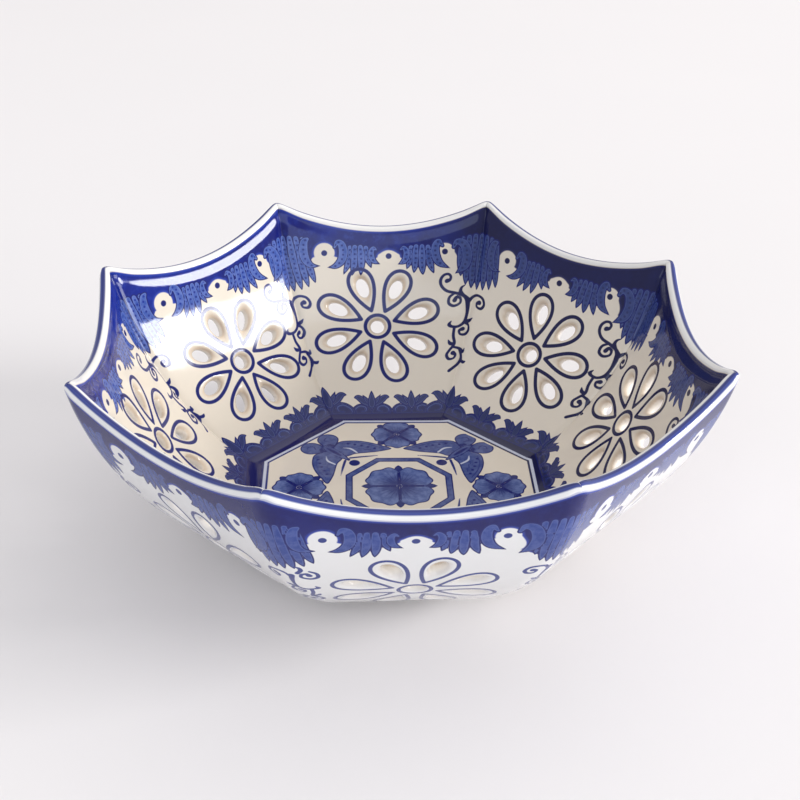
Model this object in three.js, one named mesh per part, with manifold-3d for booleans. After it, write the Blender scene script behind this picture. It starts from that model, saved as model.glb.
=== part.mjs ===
// An eight-sided openwork serving bowl in glazed porcelain.
// Eight pressed wall panels, mitred at the corners, stand round an octagonal floor on a foot ring.
// Each panel swells outwards, dips in a scallop between two rim tips, and is pierced with
// a flower of eight petal-shaped holes round an eye. Each hole is dished from both faces, and
// each flower sits and turns a little differently, as hand work does.
// Units are millimetres. The origin is the centre of the foot's underside, with +Z up.

import * as THREE from 'three';
import Module from 'manifold-3d';
import { mergeVertices } from 'three/addons/utils/BufferGeometryUtils.js';

const wasm = await Module();
wasm.setup();

const DEG = Math.PI / 180;

// The bowl's outline: an octagon in plan, with an arc of wall over a tighter arc of heel
const sides = 8;
const tipRadius = 110;       // from the axis to a rim tip, on the outer face
const wallArc = 108;         // radius of the wall's swelling curve, outer face
const rimLean = 10.8 * DEG;  // the wall's lean from upright at a rim tip
const heelLean = 56.7 * DEG; // its lean where the wall turns into the heel
const heelRadius = 22.7;     // radius of that turn, outer face

// The clay's thickness, and the joints that the maker closes with slip
const rimThickness = 4.2;
const heelThickness = 5;
const slipJoint = 0.3;

// The scalloped rim
const rimDip = 10.2;         // how far the crest sinks along the wall between two tips
const arrisRadius = 8;       // rounding of the outer corners

// The pierced flower on each panel
const petals = 8;
const petalInner = 8.2;      // from the flower's centre to a petal's point
const petalOuter = 24.2;     // and to its round end
const petalWidth = 7.6;
const throatCentre = 17;     // the narrow oval halfway through the wall
const throatLength = 7.8;
const throatWidth = 4.6;
const eyeRadius = 4.2;
const eyeThroatRadius = 2.6;

// Where each panel's flower sits: shift runs across the panel, to the right as seen from outside,
// drop runs down the wall from the tips' crest, and turn is in degrees, clockwise from inside
const flowers = [
  { shift: 0.5, drop: 54.2, turn: 3.4 },
  { shift: 1.5, drop: 52.7, turn: 6 },
  { shift: 2.3, drop: 51.7, turn: 7 },
  { shift: 1.3, drop: 53.4, turn: 15.4 },
  { shift: 2.7, drop: 51.4, turn: 3.6 },
  { shift: -0.3, drop: 53.7, turn: 8 },
  { shift: 3, drop: 51.7, turn: 7.9 },
  { shift: 1, drop: 52.7, turn: 5 },
];

// The foot ring
const footHeight = 5;
const footRadius = 47;       // to a corner, where the ring meets the floor
const footWall = 6.4;        // the ring's width at its root
const footTaper = 1.6;       // how far each side draws in towards the resting face
const footChamfer = 0.8;

// How finely the curves are stepped
const wallSteps = 5;
const heelSteps = 3;
const crestSteps = 4;
const scallopSteps = 8;
const outlineSteps = 12;
const cutOverrun = 0.6;      // how far a cutter stands clear of each face
const weld = 1e-4;           // points closer than this are one point

const halfSide = Math.PI / sides;
const crestRadius = rimThickness / 2;
const arrisRun = arrisRadius * Math.tan(halfSide);
const wallLength = wallArc * (heelLean - rimLean);
const heelLength = heelRadius * (Math.PI / 2 - heelLean);
const panelLength = wallLength + heelLength;

// The lean of the wall at a length down the outer face from the tips' crest
function leanAt(length) {
  if (length <= wallLength) return rimLean + length / wallArc;
  return heelLean + (length - wallLength) / heelRadius;
}

// A point of the corner line on the outer face: its distance from the axis and its height
function cornerPoint(lean) {
  const heelTop = footHeight + heelRadius * (1 - Math.sin(heelLean));
  const heelOut = tipRadius - wallArc * (Math.cos(rimLean) - Math.cos(heelLean));
  if (lean <= heelLean) {
    return {
      out: tipRadius - wallArc * (Math.cos(rimLean) - Math.cos(lean)),
      up: heelTop + wallArc * (Math.sin(heelLean) - Math.sin(lean)),
    };
  }
  return {
    out: heelOut - heelRadius * (Math.cos(heelLean) - Math.cos(lean)),
    up: footHeight + heelRadius * (1 - Math.sin(lean)),
  };
}

// The clay's thickness grows evenly from the rim to the heel
function thicknessAt(length) {
  return rimThickness + (heelThickness - rimThickness) * length / panelLength;
}

// A panel's cross section: the point at a length down the wall and a depth in from the outer face.
// out runs from the axis square to the panel, and up is the height.
function sectionPoint(length, depth) {
  const lean = leanAt(length);
  const corner = cornerPoint(lean);
  const tangent = new THREE.Vector2(Math.sin(lean) * Math.cos(halfSide), Math.cos(lean)).normalize();
  return {
    out: corner.out * Math.cos(halfSide) - tangent.y * depth,
    up: corner.up + tangent.x * depth,
  };
}

// Half a panel's width at a distance from the axis, less its share of the slip joint
function halfWidthAt(out) {
  return out * Math.tan(halfSide) - slipJoint / 2 / Math.cos(halfSide);
}

// Joins rings of points into one closed body, with a ladder of triangles over each end
function loft(rings) {
  const count = rings[0].length;
  const positions = rings.flat().flatMap((point) => point.toArray());
  const triangles = [];
  for (let ring = 0; ring + 1 < rings.length; ring++) {
    for (let i = 0; i < count; i++) {
      const next = (i + 1) % count;
      const a = ring * count + i;
      const b = ring * count + next;
      const c = a + count;
      const d = b + count;
      triangles.push(a, b, c, b, d, c);
    }
  }
  const last = (rings.length - 1) * count;
  for (let low = 0, high = count - 1; low + 1 < high; low++, high--) {
    triangles.push(low, high, low + 1);
    triangles.push(last + low, last + low + 1, last + high);
    if (low + 1 < high - 1) {
      triangles.push(low + 1, high, high - 1);
      triangles.push(last + low + 1, last + high - 1, last + high);
    }
  }
  const geometry = new THREE.BufferGeometry();
  geometry.setAttribute('position', new THREE.Float32BufferAttribute(positions, 3));
  geometry.setIndex(triangles);
  return geometry;
}

// Six times the volume inside a closed mesh, which is negative when its faces point inwards
function signedVolume(positions, triangles) {
  const corner = (i) => new THREE.Vector3().fromArray(positions, triangles[i] * 3);
  let total = 0;
  for (let i = 0; i < triangles.length; i += 3) {
    total += corner(i).dot(corner(i + 1).cross(corner(i + 2)));
  }
  return total;
}

// A closed mesh as a solid that can be cut, with its faces turned outwards
function toSolid(geometry) {
  const bare = geometry.clone();
  bare.deleteAttribute('normal');
  bare.deleteAttribute('uv');
  const merged = mergeVertices(bare, weld);
  const vertProperties = new Float32Array(merged.attributes.position.array);
  const triVerts = new Uint32Array(merged.index.array);
  if (signedVolume(vertProperties, triVerts) < 0) {
    for (let i = 0; i < triVerts.length; i += 3) {
      [triVerts[i + 1], triVerts[i + 2]] = [triVerts[i + 2], triVerts[i + 1]];
    }
  }
  return new wasm.Manifold(new wasm.Mesh({ numProp: 3, vertProperties, triVerts }));
}

function toGeometry(solid) {
  const mesh = solid.getMesh();
  const geometry = new THREE.BufferGeometry();
  geometry.setAttribute('position', new THREE.BufferAttribute(mesh.vertProperties, 3));
  geometry.setIndex(new THREE.BufferAttribute(mesh.triVerts, 1));
  geometry.computeVertexNormals();
  return geometry;
}

// Columns across a panel, from -1 at one mitre to 1 at the other. The face is flat between
// the second and the last but one, and its outer corners are rounded off beyond them.
const flatEdge = 1 - arrisRun / (tipRadius * Math.sin(halfSide));
const columns = [-1];
for (let i = 0; i <= scallopSteps; i++) {
  columns.push(flatEdge * (2 * i / scallopSteps - 1));
}
columns.push(1);

// How far the rounded outer corner draws in from the flat face at the mitre
const arrisDraw = arrisRadius - Math.sqrt(arrisRadius ** 2 - arrisRun ** 2);

// One closed section of a panel, up the outer face, over the round crest and down the inner face
function panelSection(across) {
  const atMitre = Math.abs(across) === 1;
  const crestCentre = crestRadius + rimDip * (1 - across ** 2);
  const place = (point) => {
    const half = halfWidthAt(point.out);
    const side = atMitre ? across * half : across * (half - arrisRun) / flatEdge;
    return new THREE.Vector3(point.out, side, point.up);
  };
  const draw = atMitre ? arrisDraw : 0;
  const lengths = [];
  for (let i = 0; i < heelSteps; i++) {
    lengths.push(panelLength - heelLength * i / heelSteps);
  }
  for (let i = 0; i <= wallSteps; i++) {
    lengths.push(wallLength + (crestCentre - wallLength) * i / wallSteps);
  }
  const outer = lengths.map((length) => place(sectionPoint(length, draw)));
  const inner = lengths.map((length) => place(sectionPoint(length, thicknessAt(length))));
  const crest = [];
  const middle = thicknessAt(crestCentre) / 2;
  for (let i = 1; i < crestSteps; i++) {
    const turn = Math.PI * i / crestSteps;
    const depth = middle - (middle - draw * (1 - i / crestSteps)) * Math.cos(turn);
    crest.push(place(sectionPoint(crestCentre - crestRadius * Math.sin(turn), depth)));
  }
  return [...outer, ...crest, ...inner.reverse()];
}

// A teardrop and its oval throat, as points that match one to one.
// along runs out from the flower's centre, and aside runs across the petal.
const teardropFullness = 4 / (3 * Math.sqrt(3));   // the greatest value of sin(t) * sin(t / 2)

function petalOutline(t) {
  const middle = (petalInner + petalOuter) / 2;
  return {
    along: middle - (petalOuter - petalInner) / 2 * Math.cos(t),
    aside: petalWidth / 2 / teardropFullness * Math.sin(t) * Math.sin(t / 2),
  };
}

function petalThroat(t) {
  return {
    along: throatCentre - throatLength / 2 * Math.cos(t),
    aside: throatWidth / 2 * Math.sin(t),
  };
}

const circle = (radius) => (t) => ({ along: -radius * Math.cos(t), aside: radius * Math.sin(t) });

// A dished cutter: from an outline beyond the outer face, through the throat, to one beyond the inner
function dishedCutter(outline, throat, flower, turn) {
  const ringAt = (share, depthAt) => {
    const ring = [];
    for (let i = 0; i < outlineSteps; i++) {
      const t = 2 * Math.PI * i / outlineSteps;
      const edge = outline(t);
      const neck = throat(t);
      const along = neck.along + (edge.along - neck.along) * share;
      const aside = neck.aside + (edge.aside - neck.aside) * share;
      const side = flower.shift + along * Math.cos(turn) - aside * Math.sin(turn);
      const length = flower.drop - along * Math.sin(turn) - aside * Math.cos(turn);
      const point = sectionPoint(length, depthAt(thicknessAt(length)));
      ring.push(new THREE.Vector3(point.out, side, point.up));
    }
    return ring;
  };
  const flare = 1 + 2 * cutOverrun / thicknessAt(flower.drop);
  return toSolid(loft([
    ringAt(flare, () => -cutOverrun),
    ringAt(0, (thickness) => thickness / 2),
    ringAt(flare, (thickness) => thickness + cutOverrun),
  ]));
}

const plainPanel = toSolid(loft(columns.map(panelSection)));

function wallPanel(flower) {
  let panel = plainPanel.subtract(dishedCutter(circle(eyeRadius), circle(eyeThroatRadius), flower, 0));
  for (let i = 0; i < petals; i++) {
    const turn = 2 * Math.PI * (i + 0.5) / petals + flower.turn * DEG;
    panel = panel.subtract(dishedCutter(petalOutline, petalThroat, flower, turn));
  }
  return toGeometry(panel);
}

// An eight-sided solid from a profile of [distance to a corner, height] pairs
function octagonal(profile) {
  const points = profile.map(([out, up]) => new THREE.Vector2(out, up));
  const geometry = new THREE.LatheGeometry(points, sides, halfSide);
  geometry.rotateX(Math.PI / 2);
  return toGeometry(toSolid(geometry));
}

function floorSlab() {
  const edge = cornerPoint(Math.PI / 2).out - slipJoint / Math.cos(halfSide);
  const top = footHeight + heelThickness;
  return octagonal([[0, footHeight], [edge, footHeight], [edge, top], [0, top]]);
}

function footRing() {
  const outerFoot = footRadius - footTaper;
  const innerRoot = footRadius - footWall;
  const innerFoot = innerRoot + footTaper;
  return octagonal([
    [footRadius, footHeight],
    [innerRoot, footHeight],
    [innerFoot, footChamfer],
    [innerFoot + footChamfer, 0],
    [outerFoot - footChamfer, 0],
    [outerFoot, footChamfer],
    [footRadius, footHeight],
  ]);
}

const glazedWall = new THREE.MeshStandardMaterial({ color: 0xd5d9e6, roughness: 0.12, metalness: 0 });
const glazedFloor = new THREE.MeshStandardMaterial({ color: 0xe3ddd3, roughness: 0.12, metalness: 0 });
const bareClay = new THREE.MeshStandardMaterial({ color: 0xe6ded0, roughness: 0.75, metalness: 0 });

function named(name, geometry, material) {
  const mesh = new THREE.Mesh(geometry, material);
  mesh.name = name;
  return mesh;
}

const group = new THREE.Group();

for (let i = 0; i < sides; i++) {
  const panel = named(`wall_panel_${i + 1}`, wallPanel(flowers[i]), glazedWall);
  panel.rotation.z = 2 * Math.PI * i / sides - Math.PI / 2;
  group.add(panel);
}
group.add(named('floor', floorSlab(), glazedFloor));
group.add(named('foot_ring', footRing(), bareClay));

export default group;
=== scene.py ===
# %% [markdown]
# # An openwork porcelain serving bowl
# The real bowl is pressed porcelain: eight swelling wall panels meet round an octagonal floor, on
# a low foot ring. A flower of eight petals round an eye is cut through each panel, then the clay is
# painted with cobalt, dipped in clear glaze and fired, so it is one glassy piece.
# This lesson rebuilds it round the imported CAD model, which is loaded first and never moved.

import math

import bpy
import numpy as np
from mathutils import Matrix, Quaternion, Vector


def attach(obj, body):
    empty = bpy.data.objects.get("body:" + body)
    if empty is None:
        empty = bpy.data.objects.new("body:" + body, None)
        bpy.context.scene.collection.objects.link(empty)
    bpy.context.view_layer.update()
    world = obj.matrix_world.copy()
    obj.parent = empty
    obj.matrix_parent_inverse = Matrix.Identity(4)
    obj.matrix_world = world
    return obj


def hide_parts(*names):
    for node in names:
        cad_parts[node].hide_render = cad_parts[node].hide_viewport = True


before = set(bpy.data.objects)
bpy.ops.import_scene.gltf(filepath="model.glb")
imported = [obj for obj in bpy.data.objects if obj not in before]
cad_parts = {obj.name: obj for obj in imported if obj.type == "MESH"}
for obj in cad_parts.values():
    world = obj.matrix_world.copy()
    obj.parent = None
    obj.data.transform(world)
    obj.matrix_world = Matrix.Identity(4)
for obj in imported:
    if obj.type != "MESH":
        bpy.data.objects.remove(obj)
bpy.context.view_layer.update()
print("CAD nodes:", ", ".join(sorted(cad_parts)))

# %% [markdown]
# ## The bowl's measurements
# Lengths are in millimetres here, as on a potter's drawing, and each mesh is turned into metres
# when it is made. The wall is an arc that leans out from the heel to the rim. A tighter arc, the
# heel, turns it into the floor. "Length" always means the way down the wall from the tips' crest.

# %% Name the measurements
MM = 0.001
SIDES = 8
HALF_SIDE = math.pi / SIDES
SLOPE = math.tan(HALF_SIDE)          # half a panel's width for each millimetre from the axis
TIP_RADIUS = 110.0
WALL_ARC = 108.0
RIM_LEAN = math.radians(10.8)
HEEL_LEAN = math.radians(56.7)
HEEL_RADIUS = 22.7
RIM_THICKNESS = 4.2
HEEL_THICKNESS = 5.0
RIM_DIP = 10.2
TIP_SOFTNESS = 0.8
CREST_RADIUS = RIM_THICKNESS / 2
FOOT_HEIGHT = 5.0
FLOOR_TOP = FOOT_HEIGHT + HEEL_THICKNESS
ARRIS_RADIUS = 9.4                   # rounding of the outer corners
FILLET_RADIUS = 8.0                  # glaze and slip that fill the inner corners
LIP_THINNING, LIP_SWELL = 0.3, 0.54  # of the inner face, just below the rim
LIP_ENDS, LIP_FADE = 1, 4.5          # below the crest the thinned lip turns into the swelling
SWELL_ENDS, SWELL_FADE = 7, 18       # and the swelling runs out, each over its own length
CORNER_FADES = ((13, 12), (30, 28))  # outer, inner: where a corner starts to fade out, and over what length
CORNER_FADE_SHARE = 0.95
WALL_LENGTH = WALL_ARC * (HEEL_LEAN - RIM_LEAN)
PANEL_LENGTH = WALL_LENGTH + HEEL_RADIUS * (math.pi / 2 - HEEL_LEAN)
print(f"a panel is {PANEL_LENGTH:.1f} mm long from crest to heel")


# %% Work out the wall's section
def thickness_at(length):
    """The clay's thickness: it grows evenly from the rim to the heel."""
    return RIM_THICKNESS + (HEEL_THICKNESS - RIM_THICKNESS) * length / PANEL_LENGTH


def section(length, depth):
    """A point of a panel's section, at a length down the wall and a depth in from its outer face.

    The lean grows by length over radius, first along the wall's arc and then along the heel's.
    The corner line follows those arcs, and the panel's face is that line times cos(pi / 8).
    Depth is measured square to the face. Returns the distance from the axis and the height.
    """
    lean = np.where(length <= WALL_LENGTH, RIM_LEAN + length / WALL_ARC,
                    HEEL_LEAN + (length - WALL_LENGTH) / HEEL_RADIUS)
    heel_top = FOOT_HEIGHT + HEEL_RADIUS * (1 - math.sin(HEEL_LEAN))
    heel_out = TIP_RADIUS - WALL_ARC * (math.cos(RIM_LEAN) - math.cos(HEEL_LEAN))
    on_wall = lean <= HEEL_LEAN
    corner_out = np.where(on_wall, TIP_RADIUS - WALL_ARC * (math.cos(RIM_LEAN) - np.cos(lean)),
                          heel_out - HEEL_RADIUS * (math.cos(HEEL_LEAN) - np.cos(lean)))
    corner_up = np.where(on_wall, heel_top + WALL_ARC * (math.sin(HEEL_LEAN) - np.sin(lean)),
                         FOOT_HEIGHT + HEEL_RADIUS * (1 - np.sin(lean)))
    run, rise = np.sin(lean) * math.cos(HALF_SIDE), np.cos(lean)
    size = np.hypot(run, rise)
    return corner_out * math.cos(HALF_SIDE) - rise / size * depth, corner_up + run / size * depth


# %% [markdown]
# ## Helpers for making a mesh
# Every piece is worked out with numpy as whole arrays, and put into Blender in one go. A piece's
# mesh holds its own place, so its object stays at the origin. Painted decoration is kept on the
# mesh too, as numbers at the vertices that say how far inside or outside a brush mark each is.

# %% Make a Blender mesh from arrays
def make_piece(name, points, triangles, normals, marks, places):
    """A closed mesh from points in mm, triangles, normals, painted marks and a flat map."""
    mesh = bpy.data.meshes.new(name)
    mesh.vertices.add(len(points))
    mesh.vertices.foreach_set("co", (points * MM).astype(np.float32).ravel())
    mesh.loops.add(triangles.size)
    mesh.loops.foreach_set("vertex_index", triangles.astype(np.int32).ravel())
    mesh.polygons.add(len(triangles))
    mesh.polygons.foreach_set("loop_start", np.arange(0, triangles.size, 3, dtype=np.int32))
    mesh.update(calc_edges=True)
    flat_map = mesh.uv_layers.new(name="OFBake")
    flat_map.uv.foreach_set("vector", places.astype(np.float32).ravel())
    for mark, values in marks.items():
        layer = mesh.attributes.new(mark, "FLOAT", "POINT")
        layer.data.foreach_set("value", values.astype(np.float32))
    mesh.normals_split_custom_set_from_vertices(normals.tolist())
    piece = bpy.data.objects.new(name, mesh)
    bpy.context.scene.collection.objects.link(piece)
    print(f"{name}: {len(points)} points, {len(triangles)} triangles")
    return piece


def smooth_normals(points, triangles):
    """Each point's normal is the sum of its triangles' cross products, made one unit long."""
    a, b, c = (points[triangles[:, k]] for k in range(3))
    cross = np.cross(b - a, c - a)
    normals = np.zeros_like(points)
    for k in range(3):
        for axis in range(3):
            normals[:, axis] += np.bincount(triangles[:, k], cross[:, axis], len(points))
    return normals / np.maximum(np.linalg.norm(normals, axis=1, keepdims=True), 1e-12)


def turned(vectors, angle):
    """Vectors turned about the upright axis."""
    c, s = math.cos(angle), math.sin(angle)
    x, y, z = vectors.T
    return np.stack([c * x - s * y, s * x + c * y, z], 1)


# %% [markdown]
# ## The pierced flower
# The potter presses eight teardrops round an eye and cuts a smaller oval through the middle of
# each. The wall is dished towards that oval from both faces. Each hand-cut flower sits a little
# off the panel's middle and is turned by a few degrees, so each panel has its own placing here,
# the same as in the CAD model.

# %% Place the flowers
PETALS = 8
PETAL_INNER, PETAL_OUTER, PETAL_WIDTH = 8.2, 24.2, 7.6
THROAT_CENTRE, THROAT_LENGTH, THROAT_WIDTH = 17.0, 7.8, 4.6
EYE_RADIUS, EYE_THROAT_RADIUS = 4.2, 2.6
DISH_SHARE = 0.40                    # how deep each face is dished, as a share of the wall
DISH_PLAIN = 0.3                     # the share of the dish that deepens evenly, not as a bowl
TEARDROP_FULLNESS = 4 / (3 * math.sqrt(3))     # the most that sin t times sin(t / 2) comes to
LOOP_STEPS = 72

# shift across the panel, to the right as seen from outside; drop from the tips' crest; turn in degrees
FLOWERS = [(0.5, 54.2, 3.4), (1.5, 52.7, 6), (2.3, 51.7, 7), (1.3, 53.4, 15.4),
           (2.7, 51.4, 3.6), (-0.3, 53.7, 8), (3, 51.7, 7.9), (1, 52.7, 5)]


def teardrop(inner, outer, width):
    """A closed teardrop: it runs out as minus cos t, and its width goes as sin t times sin(t / 2)."""
    t = np.linspace(0, 2 * math.pi, LOOP_STEPS, endpoint=False)
    along = (inner + outer) / 2 - (outer - inner) / 2 * np.cos(t)
    return np.stack([along, width / 2 / TEARDROP_FULLNESS * np.sin(t) * np.abs(np.sin(t / 2))], 1)


def oval(centre, length, width):
    """A closed ellipse whose long axis points out from the flower's centre."""
    t = np.linspace(0, 2 * math.pi, LOOP_STEPS, endpoint=False)
    return np.stack([centre - length / 2 * np.cos(t), width / 2 * np.sin(t)], 1)


def loop_distance(px, py, loop):
    """How far points are from a closed line of straight steps, and the nearest points on it."""
    start, step = loop, np.roll(loop, -1, 0) - loop
    size = np.maximum((step**2).sum(1), 1e-12)
    dx, dy = px[:, None] - start[:, 0], py[:, None] - start[:, 1]
    t = np.clip((dx * step[:, 0] + dy * step[:, 1]) / size, 0, 1)
    gap = np.hypot(dx - t * step[:, 0], dy - t * step[:, 1])
    best = gap.argmin(1)
    rows = np.arange(len(px))
    nearest = start[best] + t[rows, best][:, None] * step[best]
    return gap[rows, best], nearest


def inside_loop(px, py, loop):
    """Whether points lie inside a closed line: a ray to one side crosses it an odd number of times."""
    (x0, y0), (x1, y1) = loop.T, np.roll(loop, -1, 0).T
    span = (y0 > py[:, None]) != (y1 > py[:, None])
    rise = np.where(np.abs(y1 - y0) < 1e-12, 1e-12, y1 - y0)
    hits = span & (px[:, None] < (x1 - x0) * (py[:, None] - y0) / rise + x0)
    return hits.sum(1) % 2 == 1


def loop_depth(px, py, loop):
    """How deep points lie inside a closed line, minus outside it, and the nearest points on it."""
    gap, nearest = loop_distance(px, py, loop)
    return np.where(inside_loop(px, py, loop), gap, -gap), nearest


# %% Measure the holes
MARGIN = 2                           # how far round a shape its points are looked for


def within(x, y, low, high):
    """The numbers of the points that lie between a low and a high corner."""
    return np.flatnonzero((x > low[0]) & (x < high[0]) & (y > low[1]) & (y < high[1]))


def circle(radius):
    """A closed circle round the flower's centre."""
    return oval(0, 2 * radius, 2 * radius)


def petal_frames(flower):
    """The turn, outline and throat of each of a flower's holes: first the eye, then the petals."""
    outline = teardrop(PETAL_INNER, PETAL_OUTER, PETAL_WIDTH)
    throat = oval(THROAT_CENTRE, THROAT_LENGTH, THROAT_WIDTH)
    eye = (0.0, circle(EYE_RADIUS), circle(EYE_THROAT_RADIUS))
    turns = [2 * math.pi * (i + 0.5) / PETALS + math.radians(flower[2]) for i in range(PETALS)]
    return [eye, *((turn, outline, throat) for turn in turns)]


def to_petal(y, length, flower, turn):
    """Panel coordinates as (along, aside) from the flower's centre, for a petal at that turn."""
    across, up = y - flower[0], flower[1] - length
    return across * math.cos(turn) + up * math.sin(turn), up * math.cos(turn) - across * math.sin(turn)


def from_petal(along, aside, flower, turn):
    """The way back from (along, aside) to panel coordinates."""
    return (flower[0] + along * math.cos(turn) - aside * math.sin(turn),
            flower[1] - along * math.sin(turn) - aside * math.cos(turn))


def measure_holes(y, length, flower):
    """For flat points: signed distance to the nearest throat (minus inside), depth inside a teardrop,
    the nearest point of that throat and the centre of that hole."""
    throat, dish = np.full(y.shape, 99.0), np.full(y.shape, -99.0)
    nearest, centre = np.stack([y, length], 1), np.zeros((len(y), 2))
    for turn, outline, neck in petal_frames(flower):
        along, aside = to_petal(y, length, flower, turn)
        near = within(along, aside, outline.min(0) - MARGIN, outline.max(0) + MARGIN)
        depth, _ = loop_depth(along[near], aside[near], outline)
        dish[near] = np.maximum(dish[near], depth)
        depth, spot = loop_depth(along[near], aside[near], neck)
        closer = -depth < throat[near]
        spot_y, spot_length = from_petal(spot[:, 0], spot[:, 1], flower, turn)
        throat[near[closer]] = -depth[closer]
        nearest[near[closer]] = np.stack([spot_y, spot_length], 1)[closer]
        centre[near[closer]] = from_petal(*neck.mean(0), flower, turn)
    return throat, dish, nearest, centre


# %% [markdown]
# ## The panel's surface
# A panel is a grid of columns, from mitre to mitre, and rows, down from the scalloped crest. The
# outer and inner faces share one grid, so the holes match through the wall. Rows go over the
# round crest to join the two faces. At the corners the outer face rounds off and the inner face
# fills out, and both end exactly on the mitre, where the next panel's surface carries on.

# %% Lay out the grid
COLUMNS, ROWS, CREST_ROWS = 196, 232, 16
WIDTH = COLUMNS + 1                  # points in a row
GRID_COUNT = WIDTH * (ROWS + 1)      # points on one face
LAST_ROW = ROWS * WIDTH + np.arange(WIDTH)
INNER_NARROWS_FROM = 0.72            # share of the half width past which the inner face draws in
TIP_FROM, TIP_SHARE = 0.9, 0.1       # of the half width, where the crest follows the rounded corner
u_line = np.linspace(-1, 1, WIDTH)
v_line = np.linspace(0, 1, ROWS + 1)


def crest_length(u):
    """The scallop: the crest sinks as one minus u squared, and the tips are a little blunt."""
    return CREST_RADIUS + np.hypot(RIM_DIP * (1 - u**2), TIP_SOFTNESS * np.abs(u)**8)


def smooth_step(value):
    """Rises from 0 to 1 with level ends."""
    t = np.clip(value, 0, 1)
    return t * t * (3 - 2 * t)


def corner_turn(gap, radius):
    """The angle round a corner's arc, for a point this far from where the arc starts."""
    return HALF_SIDE * np.clip(gap / (radius * SLOPE), 0, 1)


def lip_swell(flat, half, length):
    """How much the inner face is pressed in below the lip: the finger thins the rim by a little,
    leaves a low swelling under it, and the swelling runs out down the wall."""
    below = length - crest_length(np.clip(flat / half, -1, 1))
    hollow = LIP_THINNING - LIP_SWELL * smooth_step((below - LIP_ENDS) / LIP_FADE)
    return hollow + (LIP_SWELL - LIP_THINNING) * smooth_step((below - SWELL_ENDS) / SWELL_FADE)


def face_points(flat, length, dish, side):
    """Points of the outer (side 0) or inner (side 1) face: distance from the axis, across, and height.

    flat is the distance across the panel before its corners are rounded. Along a corner's arc the
    depth grows as radius times (1 - cos turn), and the place across as sin turn.
    """
    half = full_half = SLOPE * section(length, 0)[0]
    thickness = thickness_at(length)
    fade_from, fade_over = CORNER_FADES[side]
    fading = smooth_step((length - PANEL_LENGTH + fade_from) / fade_over)
    radius = (FILLET_RADIUS if side else ARRIS_RADIUS) * (1 - CORNER_FADE_SHARE * fading)
    draw = radius * (1 - math.cos(HALF_SIDE))
    mitre_depth = thickness - draw if side else draw
    edge = SLOPE * section(length, mitre_depth)[0]
    size = np.abs(flat)
    if side:
        share = smooth_step((size / half - INNER_NARROWS_FROM) / (1 - INNER_NARROWS_FROM))
        size = size - (half - edge) * share
        half = edge
    run = radius * SLOPE
    turn = corner_turn(size - (half - run), radius)
    rounded = half - run + (edge - half + run) * np.sin(turn) / math.sin(HALF_SIDE)
    across = np.sign(flat) * np.where(turn > 0, rounded, size)
    rounding = radius * (1 - np.cos(turn))
    pressed = lip_swell(flat, full_half, length)
    depth = thickness - pressed - dish - rounding if side else dish + rounding
    out, up = section(length, depth)
    return np.stack([out, across, up], -1)


def crest_points(u, outer_edge, inner_edge):
    """Rows over the round crest: a half circle from the outer face to the inner one, row by row."""
    centre = crest_length(u)
    middle = (thickness_at(centre) - LIP_THINNING) / 2
    outer_lean, inner_lean = (edge[:, 1] / edge[:, 0] for edge in (outer_edge, inner_edge))
    drawn = ARRIS_RADIUS * (1 - math.cos(HALF_SIDE)) * smooth_step((np.abs(u) - TIP_FROM) / TIP_SHARE)
    rows = []
    for i in range(1, CREST_ROWS):
        turn = math.pi * i / CREST_ROWS
        share = (1 - math.cos(turn)) / 2
        depth = middle - (middle - drawn * (1 - i / CREST_ROWS)) * math.cos(turn)
        out, up = section(centre - CREST_RADIUS * math.sin(turn), depth)
        lean_out = outer_lean * (1 - share) + inner_lean * share
        rows.append(np.stack([out, lean_out * out, up], -1))
    return np.array(rows)


# %% [markdown]
# ## Cutting the holes
# A grid cut along a curve gets a saw edge. Instead, wherever a grid line crosses the throat, its
# nearer point is slid onto the throat, and each cell is split along the diagonal that keeps the
# curve whole. The triangles inside the throat are left out, and the two faces are sewn together
# round it, which gives the wall's thickness.

# %% Slide points onto the throats and choose the triangles
def fit_to_throats(flat, length, flower):
    """Moves grid points onto the throats. Returns the moved grid and the signed distances."""
    shape = flat.shape
    throat, _, nearest, _ = measure_holes(flat.ravel(), length.ravel(), flower)
    throat, nearest = throat.reshape(shape), nearest.reshape(*shape, 2)
    slide = np.zeros(shape, bool)
    for axis in (0, 1):
        a = [slice(None), slice(None)]
        b = [slice(None), slice(None)]
        a[axis], b[axis] = slice(None, -1), slice(1, None)
        a, b = tuple(a), tuple(b)
        crossed = throat[a] * throat[b] < 0
        first = np.abs(throat[a]) <= np.abs(throat[b])
        slide[a] |= crossed & first
        slide[b] |= crossed & ~first
    flat, length = np.where(slide, nearest[..., 0], flat), np.where(slide, nearest[..., 1], length)
    return flat, length, np.where(slide, 0.0, throat), slide


def sheet_triangles(throat, flat, length, flower):
    """The outer face's triangles, as grid numbers, without those inside a throat."""
    rows, columns = throat.shape
    number = np.arange(rows * columns).reshape(rows, columns)
    a, b, d, e = number[:-1, :-1], number[:-1, 1:], number[1:, :-1], number[1:, 1:]
    other = (throat[:-1, :-1] * throat[1:, 1:] < 0)[..., None]
    first = np.where(other, np.stack([d, e, b], -1), np.stack([d, e, a], -1))
    second = np.where(other, np.stack([d, b, a], -1), np.stack([e, b, a], -1))
    triangles = np.concatenate([first.reshape(-1, 3), second.reshape(-1, 3)])
    held = throat.ravel()[triangles]
    middle = [grid.ravel()[triangles].mean(1) for grid in (flat, length)]
    doubtful = np.flatnonzero((held == 0).all(1))
    keep = held.min(1) >= 0
    keep[doubtful] = measure_holes(middle[0][doubtful], middle[1][doubtful], flower)[0] > 0
    return triangles[keep]


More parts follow.
